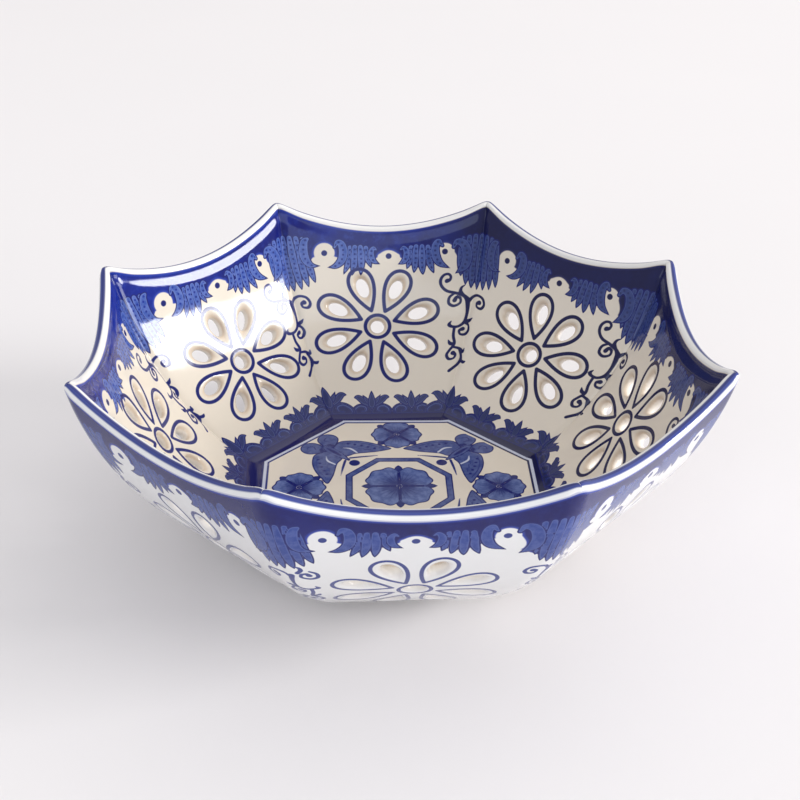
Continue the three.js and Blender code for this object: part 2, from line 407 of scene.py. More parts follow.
def open_edges(triangles, slide):
    """The directed edges round the throats: both ends slid, and no triangle on the other side."""
    edges = np.concatenate([triangles[:, [0, 1]], triangles[:, [1, 2]], triangles[:, [2, 0]]])
    count = slide.size
    codes, back = edges[:, 0] * count + edges[:, 1], edges[:, 1] * count + edges[:, 0]
    on_throat = slide.ravel()[edges].all(1)
    return edges[on_throat & ~np.isin(codes, back)]


# %% [markdown]
# ## Painting with brush strokes
# The decoration is drawn on each face in millimetres, as the painter sees it: x to the right and
# length down the wall. A stroke is a smooth line with a half width at each point. Each vertex
# keeps how far inside the mark it is, and the glaze material turns that into crisp edges, dark
# outlines and pools of colour.

# %% Turn points into strokes
FAR = -9.0                           # well outside any mark
STROKE_STEPS = 6
LEAF_ROOT, LEAF_POINT = 0.75, 3      # a leaf's width at its root, as a share, and how long its point is
DEPTH_MARKS = ("band", "leaf", "line", "pale")
SHADE_MARKS = ("along", "side", "tone")


def smooth_line(points, steps=STROKE_STEPS):
    """A Catmull-Rom line: between two points it leaves and arrives along the line joining their
    neighbours. Numbers after x and y, such as a half width, are carried along with them."""
    p = np.array(points, float)
    p = np.vstack([2 * p[0] - p[1], p, 2 * p[-1] - p[-2]])
    t = np.linspace(0, 1, steps, endpoint=False)[:, None]
    spans = [(2 * b + (c - a) * t + (2 * a - 5 * b + 4 * c - d) * t**2 + (3 * b - a - 3 * c + d) * t**3) / 2
             for a, b, c, d in zip(p, p[1:], p[2:], p[3:])]
    return np.vstack([*spans, p[-2]])


def stroke_depth(x, y, line):
    """For points: how deep inside a stroke they are, how far along it and how far to its side."""
    start, step = line[:-1], np.diff(line, axis=0)
    size = np.hypot(step[:, 0], step[:, 1]) + 1e-9
    dx, dy = x[:, None] - start[:, 0], y[:, None] - start[:, 1]
    t = np.clip((dx * step[:, 0] + dy * step[:, 1]) / size**2, 0, 1)
    gap = np.hypot(dx - t * step[:, 0], dy - t * step[:, 1])
    depth = start[:, 2] + t * step[:, 2] - gap
    best = depth.argmax(1)
    rows = np.arange(len(x))
    along = np.concatenate([[0], np.cumsum(size)])[best] + t[rows, best] * size[best]
    side = (dx * step[:, 1] - dy * step[:, 0])[rows, best] / size[best]
    return depth[rows, best], along, side


def brush_line(points):
    """A stroke's smooth line through points of x, y and half width. A single point is a round dab."""
    return smooth_line(points) if len(points) > 1 else np.array([points[0], points[0]], float)


def bare_marks(count):
    """The marks of points that nothing is painted on yet."""
    start = dict.fromkeys(DEPTH_MARKS, FAR) | dict.fromkeys(SHADE_MARKS, 0.0)
    return {name: np.full(count, value) for name, value in start.items()}


# %% A face to paint on
class Painting:
    """The painted marks on one face: for each point, its depth inside each kind of mark."""

    def __init__(self, x, y):
        self.x, self.y = x, y
        self.marks = bare_marks(len(x))
        self.tone = 0.0

    def measured_from(self, x):
        """The same marks, with the distance across measured from another place."""
        moved = Painting(self.x - x, self.y)
        moved.marks = self.marks
        return moved

    def reach(self, line):
        """The points near a stroke, and how deep inside, how far along and how far aside they are."""
        room = line[:, 2].max()
        low, high = line[:, :2].min(0) - room - MARGIN, line[:, :2].max(0) + room + MARGIN
        spots = within(self.x, self.y, low, high)
        return spots, stroke_depth(self.x[spots], self.y[spots], line)

    def lay(self, kind, line):
        """Adds a mark of one kind along a finished line."""
        spots, (depth, _, _) = self.reach(line)
        self.marks[kind][spots] = np.maximum(self.marks[kind][spots], depth)

    def stroke(self, kind, points):
        """Adds a stroke of one kind, through points of x, y and half width."""
        self.lay(kind, brush_line(points))

    def fill_leaf(self, spots, depth, along, side):
        """Lays a filled shape over those before it, so that its outline shows."""
        old = self.marks["leaf"][spots]
        over = (depth > 0) | (depth > old)
        self.marks["leaf"][spots] = np.where(over, depth, old)
        for name, value in zip(SHADE_MARKS, (along, side, self.tone)):
            self.marks[name][spots] = np.where(over, value, self.marks[name][spots])

    def leaf(self, points, width=None):
        """A filled stroke. With a width it swells from its root and closes to a point at its tip."""
        if width:
            line = smooth_line(points, 2 * STROKE_STEPS)
            t = np.linspace(0, 1, len(line))
            size = np.hypot(*np.diff(line[:, :2], axis=0).T).sum()
            half = width * np.minimum(1, LEAF_ROOT + t) * (1 - t**(size / LEAF_POINT))
            line = np.column_stack([line[:, :2], half])
        else:
            line = smooth_line(points)
        spots, found = self.reach(line)
        self.fill_leaf(spots, *found)

    def reserve(self, points):
        """Keeps a shape white: what is inside it is taken out of the dark band."""
        spots, (depth, _, _) = self.reach(brush_line(points))
        self.marks["band"][spots] = np.minimum(self.marks["band"][spots], -depth)

    def add(self, kind, depth):
        """Adds a mark whose depth is already known at every point."""
        self.marks[kind] = np.maximum(self.marks[kind], depth)


# %% [markdown]
# ## The hanging leaf border
# Under the rim runs a dark cobalt band, and from it hang pointed leaves, with three white eyes
# left bare on each panel. It is a traditional border of Chinese and Japanese blue and white. The
# middle of the border wanders by a millimetre or two from panel to panel, as painted borders do.

# %% Lay out the border
# x, length and half width of each claw-shaped leaf, drawn from its root to its tip
CLAWS = [
    [(-30.2, 13.6, 1.1), (-31.4, 14.8, 1.8), (-31.7, 18.6, 2.1), (-30.7, 22.2, 1.9), (-28.6, 24.2, 1.2),
     (-25.0, 24.5, 0)],
    [(-19.6, 17.0, 0.8), (-18.5, 15.0, 1.3), (-16.9, 15.8, 1.8), (-16.2, 18.9, 2.1), (-16.9, 22.2, 1.9),
     (-19.2, 24.5, 1.3), (-22.6, 25.2, 0)],
    [(-3.3, 18.2, 0.7), (-4.5, 17.5, 1.1), (-5.4, 19.6, 1.5), (-4.5, 22.5, 1.3), (-1.6, 24.2, 0)],
    [(6.2, 18.2, 0.7), (7.5, 17.4, 1.1), (8.6, 19.6, 1.6), (7.7, 22.7, 1.4), (4.9, 24.3, 0)],
    [(22.7, 16.8, 0.8), (21.2, 15.0, 1.4), (19.9, 16.8, 1.8), (19.9, 20.4, 2.0), (21.6, 23.8, 1.6),
     (26.0, 26.2, 0)],
    [(27.0, 17.4, 0.9), (28.4, 15.2, 1.5), (31.1, 16.2, 2.1), (32.4, 20.4, 2.3), (31.3, 25.0, 2.0),
     (27.4, 28.4, 0)],
]
HANGING_LEAVES = [
    [(-13.6, 17.2), (-13.8, 22), (-16.3, 28.3)], [(-7.4, 17.4), (-6.7, 21.5), (-5.2, 25.8)],
    [(-11.7, 17), (-11.9, 23), (-13.0, 28.8)], [(-9.5, 17), (-9.2, 23), (-9.5, 28.8)],
    [(10.3, 17.4), (9.9, 22), (8.5, 26.4)], [(16.9, 17.2), (17.5, 23), (19.3, 28.3)],
    [(12.3, 17), (12.0, 23), (11.3, 28.0)], [(14.6, 17), (14.6, 24), (14.9, 28.8)],
]
LEAF_HALF = 1.75
# each eye is a dark pupil on a white disc, with a neck that opens down into the white ground
EYES = [
    ((-23.6, 19.3), [(-23.6, 19.2, 4.0)], [(-23.5, 21, 1.3), (-23.4, 25.0, 1.1), (-23.0, 29.0, 3.2)]),
    ((1.5, 20.8), [(-1.6, 21.0, 1.2), (1.5, 20.6, 2.2), (4.7, 21.0, 1.2)],
     [(1.6, 21.5, 2.4), (1.6, 24, 2.4), (1.6, 28, 4)]),
    ((23.6, 19.2), [(23.8, 19.3, 3.6)],
     [(24.4, 20.5, 3.2), (26.3, 23.6, 2.7), (26.0, 26.2, 1.3), (26.0, 30, 2.4)]),
]
PUPIL_HALF = 1.2
BAND_EDGE_X = [-40, -33, -28, -22, -16, -12, -4, 1.5, 7, 12, 18, 24, 30, 40]
BAND_EDGE_LENGTH = [32, 28, 21, 20, 22, 23.5, 22, 18.5, 22, 23.5, 22, 20, 26, 32]
WANDER_INSIDE = [-0.6, 1.0, -1.4, -1.2, 0.6, 0.9, 2.2, -0.8]   # of each panel's border, sideways
WANDER_OUTSIDE = [-2.4, 0.8, -0.9, 1.3, -0.5, 0.4, -1.6, 1.1]
OUTSIDE_RAISED = 1.4                 # the border sits a little higher on the outer face
EYES_OUTSIDE = (0, 0, 2.6)           # how far the outer face's eyes and claws are painted to one side
CLAWS_OUTSIDE = (0, 0, 0, 0, 0.7, 2.3)


# %% Draw the border below the rim
def paint_border(painting, crest, shift, outside):
    """The dark band, the three eyes and the leaves that hang from it. The band is as deep as the
    nearer of its two edges, the crest and a line through the points of its lower edge."""
    x = painting.x - shift
    edge = np.interp(x, BAND_EDGE_X, BAND_EDGE_LENGTH)
    painting.add("band", np.minimum(painting.y - crest, edge - painting.y))
    for ((px, py), *shapes), aside in zip(EYES, EYES_OUTSIDE):
        moved = shift + outside * aside
        for shape in shapes:
            painting.reserve([(sx + moved, sy, half) for sx, sy, half in shape])
        painting.stroke("line", [(px + moved, py, PUPIL_HALF)])
    for hanging in HANGING_LEAVES:
        painting.leaf([(px + shift, py) for px, py in hanging], LEAF_HALF)
    for claw, aside in zip(CLAWS, CLAWS_OUTSIDE):
        painting.leaf([(px + shift + outside * aside, py, half) for px, py, half in claw])


# %% [markdown]
# ## Corner leaves and trailing vines
# Where two panels meet, the border hangs lowest, and a curling vine trails down over the corner.
# Their points are measured from the corner line itself, so the same drawing is used on the panel
# to its left and the one to its right, and the halves meet.

# %% Draw what straddles a corner
CORNER_LEAVES = [
    [(-7.4, 14), (-7.2, 22), (-6.2, 29.6)], [(-5.0, 13.4), (-4.6, 23), (-3.8, 33.2)],
    [(7.4, 13.6), (8.2, 23), (9.7, 31.6)], [(-2.6, 13), (-2.1, 24), (-1.4, 34.6)],
    [(4.9, 13.2), (5.5, 23), (6.8, 33.4)], [(-0.1, 13), (0.3, 24), (1.0, 35.0)],
    [(2.4, 13), (2.9, 24), (3.9, 34.4)],
]
VINE_BRUSH = 1.2                     # how much broader the brush is than the vine's own numbers
VINE = [
    [(-11.3, 31.2, 0.8), (-10.2, 30.8, 0.5), (-10.1, 29.4, 0.45), (-11.3, 28.4, 0.45), (-13.0, 28.9, 0.5),
     (-13.9, 30.8, 0.55), (-13.2, 33.2, 0.5), (-10.8, 35.3, 0.5), (-7.2, 36.2, 0.5), (-3.9, 37.2, 0.55),
     (-2.0, 38.8, 0.8)],
    [(-7.5, 36.4, 0.4), (-9.2, 38.0, 0.5), (-9.0, 40.5, 0.5), (-6.8, 41.6, 0.5), (-4.6, 40.4, 0.45),
     (-4.8, 38.5, 0.45), (-6.4, 37.9, 0.5), (-6.9, 39.2, 0.8)],
    [(-3.9, 37.2, 0.6), (-5.2, 35.6, 0.6), (-5.1, 34.0, 0.45), (-3.9, 33.0, 0.2)],
    [(-1.6, 41.5, 0.5), (-1.2, 39.5, 0.6), (0.3, 37.6, 0.5), (2.4, 36.7, 0.45), (4.9, 37.4, 0.5),
     (5.9, 39.6, 0.5), (4.8, 41.4, 0.5), (2.8, 41.3, 0.4), (2.5, 39.9, 0.5), (3.6, 39.3, 0.8)],
    [(-2.0, 38.8, 0.8), (-1.4, 41.5, 0.7), (-1.1, 45.0, 0.5), (-1.5, 48.4, 0.55), (-3.4, 50.2, 0.5),
     (-5.8, 50.3, 0.5), (-7.2, 49.4, 0.6), (-6.6, 48.0, 0.2)],
    [(-1.5, 48.4, 0.5), (0.4, 49.6, 0.45), (0.9, 51.6, 0.5), (-0.2, 53.5, 0.5), (-2.0, 53.5, 0.4),
     (-2.7, 52.0, 0.45), (-1.5, 51.3, 0.75)],
    [(-1.2, 48.0, 0.5), (0.4, 47.6, 0.6), (1.7, 46.2, 0.15)],
    [(-4.9, 50.4, 0.5), (-4.5, 54.2, 0.5), (-3.4, 57.6, 0.5), (-4.6, 60.2, 0.5), (-5.4, 62.4, 0.5),
     (-4.2, 64.2, 0.5), (-2.4, 63.9, 0.4), (-2.0, 62.4, 0.45), (-3.1, 61.6, 0.8)],
    [(-3.6, 58.0, 0.5), (-5.2, 57.4, 0.6), (-6.2, 55.9, 0.15)],
    [(-3.6, 59.0, 0.4), (-1.2, 59.6, 0.5), (0.6, 60.8, 0.5), (1.0, 59.3, 0.2)],
    [(-1.0, 59.9, 0.4), (0.2, 62.4, 0.5), (0.5, 64.4, 0.6), (-0.6, 66.8, 0.5), (-2.8, 69.4, 0.6)],
    [(0.5, 64.4, 0.5), (1.9, 64.9, 0.6), (3.0, 64.2, 0.15)],
]


def paint_corners(painting, half_width, inside):
    """The corner leaves and the vine, on both of a panel's corners. Outside, the vine is mirrored
    and has lost its first curl."""
    vine, flip = (VINE, 1) if inside else (VINE[1:], -1)
    for side in (-1, 1):
        corner = painting.measured_from(side * half_width)
        for hanging in CORNER_LEAVES:
            corner.leaf(hanging, LEAF_HALF)
        for line in vine:
            corner.stroke("line", [(flip * px, py, VINE_BRUSH * half) for px, py, half in line])


# %% [markdown]
# ## The flower's outline, and the crowns round the floor
# A ring of cobalt is painted round each teardrop and round the eye. Below them, round the floor,
# stands a border of little leafy crowns on rounded lobes, with a taller crown over each corner.

# %% Draw the flower outlines
OUTLINE_HALF, OUTLINE_THINNER = 0.74, 0.1                # the outer face's lines are thinner
RING_INSIDE, RING_OUTSIDE, RING_WIDER = 1.2, 0.9, 1.9    # how far a painted ring stands off its teardrop
EYE_RING = 0.55
DRAWING_X, DRAWING_Y, DRAWING_TURN = 1.7, -0.12, math.radians(1.69)
DRAWN_FROM, DRAWN_STRETCH = 1.3, 1.0075


def drawn_length(length):
    """The drawing's own lengths start below the tips' crest, and are a little stretched by the brush."""
    return (length - DRAWN_FROM) / DRAWN_STRETCH


def paint_flower(painting, flower, mirrored, half):
    """A painted ring a little outside each teardrop and the eye."""
    petal = teardrop(PETAL_INNER - RING_INSIDE, PETAL_OUTER + RING_OUTSIDE, PETAL_WIDTH + RING_WIDER)
    rings = [circle(EYE_RADIUS + EYE_RING)] + [petal] * PETALS
    for (turn, _, _), loop in zip(petal_frames(flower), rings):
        y, length = from_petal(loop[:, 0], loop[:, 1], flower, turn)
        line = np.stack([mirrored * y, drawn_length(length), np.full(len(y), half)], 1)
        painting.lay("line", np.vstack([line, line[:1]]))


# %% Draw the crown border
CROWN_MIDDLES = (-5.8, 9.5)
CROWN_BASE, CROWN_HIDDEN = 88.0, 1.9
CORNER_CROWN_ASIDE, CORNER_CROWN_TALL = 1.0, 1.2
BAND_BELOW = 0.2                     # from the crowns' base down to the dark band
PALE_LINE, PALE_HALF = 47.9, 0.55
DARK_LINE, DARK_HALF = 46.98, 0.4
# a crown's shapes, in order, as distance aside, height and half width
STEM_TONE, LOBE_TONE, CURL_TONE, LEAF_TONE = 0.9, 0.82, 0.45, 0.55
CROWN_STEM = [(0, -0.6, 1.3), (0, 1.4, 1.3), (0, 3.2, 1.0)]
CROWN_CURL = [(6.4, -0.8, 0.5), (6.3, 1.4, 0.7), (4.6, 3.1, 0.75), (2.5, 2.4, 0.7), (2.3, 0.4, 0.6),
              (3.7, -0.2, 0.5)]
CROWN_LARGE_LEAF = [(1.2, 3.4, 0.9), (3.2, 5.3, 1.4), (5.2, 7.2, 1.2), (7.0, 7.0, 0)]
CROWN_SMALL_LEAF = [(0.8, 4.0, 0.9), (2.1, 6.0, 1.0), (3.6, 8.6, 0)]
CROWN_TOP_LEAF, CROWN_TOP_HALF = [(0, 3.0), (0, 6.2), (0, 10.4)], 1.7


def paint_crown(painting, middle, tall):
    """One crown: two dark lobes with a soft curl, small and large side leaves and a middle leaf."""
    def place(points, side=1):
        return [(middle + side * tall * dx, CROWN_BASE - tall * up, *rest) for dx, up, *rest in points]

    lobe = [(3.5, -0.6, 3.9 * tall), (3.9, 0.6, 3.8 * tall)]
    painting.tone = STEM_TONE
    painting.leaf(place(CROWN_STEM))
    for side in (-1, 1):
        for tone, shape in ((LOBE_TONE, lobe), (CURL_TONE, CROWN_CURL),
                            (LEAF_TONE, CROWN_LARGE_LEAF), (LEAF_TONE, CROWN_SMALL_LEAF)):
            painting.tone = tone
            painting.leaf(place(shape, side))
    painting.leaf(place(CROWN_TOP_LEAF), CROWN_TOP_HALF * tall)


def drawing_place(x, y):
    """Plan coordinates of the floor's drawing, which was laid a little off the middle and turned."""
    dx, dy = x - DRAWING_X, y - DRAWING_Y
    c, s = math.cos(DRAWING_TURN), math.sin(DRAWING_TURN)
    return c * dx - s * dy, s * dx + c * dy


def apothem(x, y):
    """How far out a point is, as the apothem of the octagon through it."""
    turns = np.arange(SIDES // 2) * 2 * HALF_SIDE
    return np.abs(x[:, None] * np.cos(turns) + y[:, None] * np.sin(turns)).max(1)


def paint_floor_lines(painting, reach):
    """The pale and dark lines round the floor, and the dark band that ends at them."""
    painting.add("band", np.minimum(painting.y - CROWN_BASE - BAND_BELOW, reach - PALE_LINE))
    painting.add("pale", PALE_HALF - np.abs(reach - PALE_LINE))
    painting.add("line", DARK_HALF - np.abs(reach - DARK_LINE))


def paint_floor_border(painting, half_width, reach):
    """The crowns, and the lines that part them from the floor."""
    for middle in CROWN_MIDDLES:
        paint_crown(painting, middle, 1.0)
    for side in (-1, 1):
        paint_crown(painting.measured_from(side * half_width), CORNER_CROWN_ASIDE, CORNER_CROWN_TALL)
    end = np.minimum(CROWN_BASE + CROWN_HIDDEN - painting.y, reach - PALE_LINE)
    painting.marks["leaf"] = np.minimum(painting.marks["leaf"], end)
    paint_floor_lines(painting, reach)


# %% [markdown]
# ## Making the eight panels
# Each panel now gets its grid, its holes, its painting and its flat map. The map lays the outer
# face, the crest and the inner face in one strip, for anyone who bakes the bowl to a texture.
# Normals on the mitres lie in the mitre's own plane, so light runs over the corners without a seam.

# %% Paint both faces of a panel
def panel_turn(index):
    """The compass angle of a panel's middle. The first one faces the front."""
    return 2 * math.pi * index / SIDES - math.pi / 2


def paint_face(points, length, side, index, crest):
    """All the marks on one face, drawn as its painter sees it."""
    mirrored = -1.0 if side else 1.0
    x = mirrored * points[:, 1]
    painting = Painting(x, drawn_length(length))
    half_width = SLOPE * points[:, 0]
    raised = 0 if side else OUTSIDE_RAISED
    painting.y += raised
    paint_corners(painting, half_width, side)
    wander = (WANDER_INSIDE if side else WANDER_OUTSIDE)[index]
    paint_border(painting, drawn_length(crest) + raised, wander, not side)
    painting.y -= raised
    if side:
        plan = turned(points, panel_turn(index))
        paint_floor_border(painting, half_width, apothem(*drawing_place(plan[:, 0], plan[:, 1])))
    outline = OUTLINE_HALF if side else OUTLINE_HALF - OUTLINE_THINNER
    paint_flower(painting, FLOWERS[index], mirrored, outline)
    painting.marks["inside"] = np.full(len(x), float(side))
    return painting.marks


# %% Build one panel
def build_panel(index):
    """Points, triangles, normals, marks and map of one panel, before it is turned into place.

    Its points are the outer face's grid, then the inner face's, then the rows over the crest.
    """
    flower = FLOWERS[index]
    u, v = np.meshgrid(u_line, v_line)
    crest = crest_length(u)
    length = crest + (PANEL_LENGTH - crest) * v
    flat = u * SLOPE * section(length, 0)[0]
    flat, length, throat, slide = fit_to_throats(flat, length, flower)
    outer = sheet_triangles(throat, flat, length, flower)
    flat, length = flat.ravel(), length.ravel()
    gap, dish_depth, _, centres = measure_holes(flat, length, flower)
    cut = np.clip(dish_depth / (np.abs(dish_depth) + np.maximum(gap, 0) + 1e-9), 0, 1)
    bowled = 1 - np.sqrt(np.maximum(1 - cut**2, 0))
    dish = DISH_SHARE * thickness_at(length) * (DISH_PLAIN * cut**2 + (1 - DISH_PLAIN) * bowled)
    faces = [face_points(flat, length, dish, side) for side in (0, 1)]
    rims = crest_points(u_line, faces[0][:WIDTH], faces[1][:WIDTH])
    points = np.concatenate([*faces, rims.reshape(-1, 3)])

    row = np.arange(WIDTH)
    ring = [row, *(2 * GRID_COUNT + k * WIDTH + row for k in range(CREST_ROWS - 1)), GRID_COUNT + row]
    over_crest = np.concatenate([strip_triangles(low, high) for low, high in zip(ring, ring[1:])])
    p, q = open_edges(outer, slide).T
    throats = np.concatenate([np.stack([q, p, p + GRID_COUNT], 1),
                              np.stack([q, p + GRID_COUNT, q + GRID_COUNT], 1)])
    smooth = [outer, outer[:, ::-1] + GRID_COUNT, over_crest, throats]
    left, right = (cap_triangles(column, ring) for column in (0, COLUMNS))
    parts = [*smooth, strip_triangles(LAST_ROW + GRID_COUNT, LAST_ROW), left, right[:, ::-1]]
    triangles = np.concatenate(parts)

    normals = level_ends(smooth_normals(points, np.concatenate(smooth)))
    marks = panel_marks(faces, length, crest, index)
    # the share of the way into a hole's dish, by which the glaze paints shade and light in the holes
    marks["cut"] = np.concatenate([cut, cut, np.zeros(rims.size // 3)])
    places = panel_map(flat, length, centres, triangles, np.cumsum([len(part) for part in parts]))
    used = np.unique(triangles)
    renumber = np.zeros(len(points), int)
    renumber[used] = np.arange(len(used))
    return points[used], renumber[triangles], normals[used], {k: m[used] for k, m in marks.items()}, places


def strip_triangles(low, high):
    """Two triangles for each cell between two rows of point numbers."""
    a, b, c, d = low[:-1], low[1:], high[1:], high[:-1]
    return np.concatenate([np.stack([a, b, c], 1), np.stack([a, c, d], 1)])


def cap_triangles(column, ring):
    """The mitre face at one end: ladders between the outer and inner face, and across the crest."""
    down = column + WIDTH * np.arange(ROWS + 1)
    ladder = strip_triangles(down[::-1], down[::-1] + GRID_COUNT)[:, ::-1]
    over = np.array([row[column] for row in ring])
    fan = np.stack([np.full(CREST_ROWS - 1, over[0]), over[1:-1], over[2:]], 1)
    return np.concatenate([ladder, fan])


def level_ends(normals):
    """Lays the normals of the mitres in their planes, and those of the heel's end upright."""
    for column, sign in ((0, -1), (COLUMNS, 1)):
        plane = np.array([-math.sin(HALF_SIDE) * sign, math.cos(HALF_SIDE), 0])
        ends = np.arange(column, len(normals), WIDTH)
        normals[ends] -= (normals[ends] @ plane)[:, None] * plane
    normals[LAST_ROW], normals[LAST_ROW + GRID_COUNT] = (0, 0, -1), (0, 0, 1)
    return normals / np.maximum(np.linalg.norm(normals, axis=1, keepdims=True), 1e-12)


# %% Paint the whole panel
CREST_LINE_TURN = math.radians(83)   # where round the crest the painted rim line runs
CREST_LINE_SOFTNESS = 0.3            # less than one makes its edges softer than a stroke's
CREST_LINE_HALF = 1.05
CREST_INSIDE = 0.25                  # the crest is nearly as cool a white as the outer face
OUTER_CREEP = 0.35                   # how far the outer band creeps up round the crest


def panel_marks(faces, length, crest, index):
    """The painted marks of the outer face, the inner face and the crest, in the points' order."""
    sides = [paint_face(faces[side], length, side, index, crest.ravel()) for side in (0, 1)]
    turns = np.arange(1, CREST_ROWS) * math.pi / CREST_ROWS
    around = CREST_RADIUS * np.repeat(turns, WIDTH)
    line_at = CREST_RADIUS * CREST_LINE_TURN
    rim = bare_marks(len(around))
    rim["band"] = np.maximum(around - CREST_RADIUS * math.pi, OUTER_CREEP - around)
    rim["line"] = CREST_LINE_SOFTNESS * (CREST_LINE_HALF - np.abs(around - line_at))
    rim["inside"] = np.where(around > line_at, CREST_INSIDE, 0)
    return {name: np.concatenate([sides[0][name], sides[1][name], rim[name]]) for name in rim}


# %% Lay out the panel's flat map
MAP_HALF = 0.485                     # half the width of the strip that holds both faces and the crest
MAP_EDGE, MAP_SPAN, MAP_MIDDLE = 0.02, 0.46, 0.5
OUTER_SHARE, CREST_END = 0.95, 0.48  # the outer face's share of its span, and where the crest's rows end
INNER_BOTTOM, OUTER_BOTTOM = 0.965, 0.995
MITRE_EDGES, MITRE_WIDTH = (0.002, 0.988), 0.01
MITRE_TOP, MITRE_SPAN, MITRE_CREST_ROW = 0.95, 0.9, -3
THROAT_INWARD = 0.4                  # a throat's wall is laid inside its hole, this far to its middle


def map_shares(y, down):
    """How far across the map a place on the panel lies, and its share of the way down the panel."""
    u = np.clip(y / (SLOPE * section(down, 0)[0]), -1, 1)
    top = crest_length(u)
    return MAP_MIDDLE + MAP_HALF * u, np.clip((down - top) / (PANEL_LENGTH - top), 0, 1)


def map_outer(y, length):
    """Places on the map for the outer face, which is laid with its crest upwards."""
    across, down = map_shares(y, length)
    return np.stack([across, MAP_EDGE + MAP_SPAN * (1 - down) * OUTER_SHARE], 1)


def panel_map(flat, length, centres, triangles, ends):
    """Flat places for each corner of each triangle, without overlaps.

    Ends says where the outer face, inner face, crest, throats, bottom and both mitres end among
    the triangles. The bottom and the mitres are laid along the map's edges.
    """
    outer = map_outer(flat, length)
    across, down = map_shares(flat, length)
    inner = np.stack([across, MAP_MIDDLE + MAP_SPAN * down], 1)
    steps = np.arange(1, CREST_ROWS) / CREST_ROWS
    rim_rows = MAP_EDGE + OUTER_SHARE * MAP_SPAN + steps * (CREST_END - OUTER_SHARE * MAP_SPAN)
    rim = np.stack([np.tile(MAP_MIDDLE + MAP_HALF * u_line, CREST_ROWS - 1), np.repeat(rim_rows, WIDTH)], 1)
    by_point = np.concatenate([outer, inner, rim])
    places = by_point[triangles]

    throats = slice(ends[2], ends[3])
    number = triangles[throats]
    seen, inward = number % GRID_COUNT, (number >= GRID_COUNT)[..., None]
    middle = map_outer(centres[:, 0], centres[:, 1])
    walled = (1 - THROAT_INWARD) * outer[seen] + THROAT_INWARD * middle[seen]
    places[throats] = np.where(inward, walled, outer[seen])
    bottom = slice(ends[3], ends[4])
    number = triangles[bottom]
    height = np.where(number < GRID_COUNT, OUTER_BOTTOM, INNER_BOTTOM)
    places[bottom] = np.stack([by_point[number][..., 0], height], -1)
    for cap, edge in zip((slice(ends[4], ends[5]), slice(ends[5], ends[6])), MITRE_EDGES):
        number = triangles[cap]
        on_crest = number >= 2 * GRID_COUNT
        share = np.where(on_crest, (number - 2 * GRID_COUNT) // WIDTH / CREST_ROWS, number >= GRID_COUNT)
        row = np.where(on_crest, MITRE_CREST_ROW, (number % GRID_COUNT) // WIDTH)
        places[cap] = np.stack([edge + MITRE_WIDTH * share, MITRE_TOP - MITRE_SPAN * row / ROWS], -1)
    return places


# %% [markdown]
# ## The glaze materials
# Cobalt under a clear glaze is never one blue: it pools dark where the brush was full, thins to a
# soft blue at its edges, and the glaze softens every line. The material layers the ground, the
# band, the leaves and the lines, each by how deep inside a mark the surface is. Noise in Object
# coordinates varies the tone and very slightly ripples the gloss.

# %% Node helpers
def add_node(tree, kind, inputs=None, **settings):
    """Adds one node. Inputs maps a socket's name or number to a value or to another node's output."""
    node = tree.nodes.new(kind)
    for name, value in settings.items():
        setattr(node, name, value)
    for name, value in (inputs or {}).items():
        if isinstance(value, bpy.types.NodeSocket):
            tree.links.new(value, node.inputs[name])
        else:
            node.inputs[name].default_value = value
    return node


def step_up(tree, value, low, high, to_low=0.0, to_high=1.0):
    """Goes smoothly from to_low to to_high as the value goes from low to high."""
    node = add_node(tree, "ShaderNodeMapRange", {0: value, 1: low, 2: high, 3: to_low, 4: to_high},
                    interpolation_type="SMOOTHSTEP")
    return node.outputs[0]


def blend(tree, factor, first, second):
    """The first colour where the factor is 0 and the second where it is 1."""
    node = add_node(tree, "ShaderNodeMix", {0: factor, 6: first, 7: second}, data_type="RGBA")
    return node.outputs[2]


def maths(tree, operation, first, second=0.0):
    """One sum on numbers."""
    return add_node(tree, "ShaderNodeMath", {0: first, 1: second}, operation=operation).outputs[0]


def times(tree, first, second):
    """One number times another."""
    return maths(tree, "MULTIPLY", first, second)


def mark(tree, name):
    """A painted mark's depth, read from the mesh."""
    return add_node(tree, "ShaderNodeAttribute", attribute_name=name).outputs["Fac"]


def noise(tree, place, scale, detail=2.0, roughness=0.5):
    """Cloudy noise from 0 to 1, with about scale patches to a metre."""
    return add_node(tree, "ShaderNodeTexNoise", {"Vector": place, "Scale": scale, "Detail": detail,
                                                 "Roughness": roughness}).outputs[0]

# %% Start and finish a material
def new_material(name):
    """An empty material, its node tree and its Object coordinates, in metres."""
    material = bpy.data.materials.new(name)
    material.use_nodes = True
    tree = material.node_tree
    tree.nodes.clear()
    return material, tree, add_node(tree, "ShaderNodeTexCoord").outputs["Object"]


def add_surface(tree, inputs):
    """The surface's shader with these inputs, joined to the material's output."""
    shader = add_node(tree, "ShaderNodeBsdfPrincipled", inputs)
    add_node(tree, "ShaderNodeOutputMaterial", {0: shader.outputs[0]})

# %% The glaze over the painting
# the inner face's cream is partly painted shade: a warmer, darker white for the shaded inside of the bowl
INNER_CREAM_AND_SHADE = (0.76, 0.675, 0.56, 1)
CREAM_SHADE = (0.64, 0.55, 0.46, 1)
# painted shade in the dished cut beds, and painted light on the throats' walls, which catch light through
# the holes
PAINTED_CUT_SHADE = (0.62, 0.47, 0.33, 1)
PAINTED_THROAT_LIGHT = (0.86, 0.80, 0.72, 1)
COOL_WHITE = (0.775, 0.765, 0.755, 1)


def finish_glaze(tree, colour, place):
    """Clear glossy glaze: low roughness that varies a little, and a faint ripple."""
    bump = add_node(tree, "ShaderNodeBump", {"Strength": 0.06, "Distance": 0.0004,
                                             "Height": noise(tree, place, 220, 1.0)})
    gloss = step_up(tree, noise(tree, place, 90), 0.3, 0.7, 0.05, 0.1)
    add_surface(tree, {"Base Color": colour, "Roughness": gloss, "Normal": bump.outputs[0],
                       "IOR": 1.45, "Specular IOR Level": 0.38})


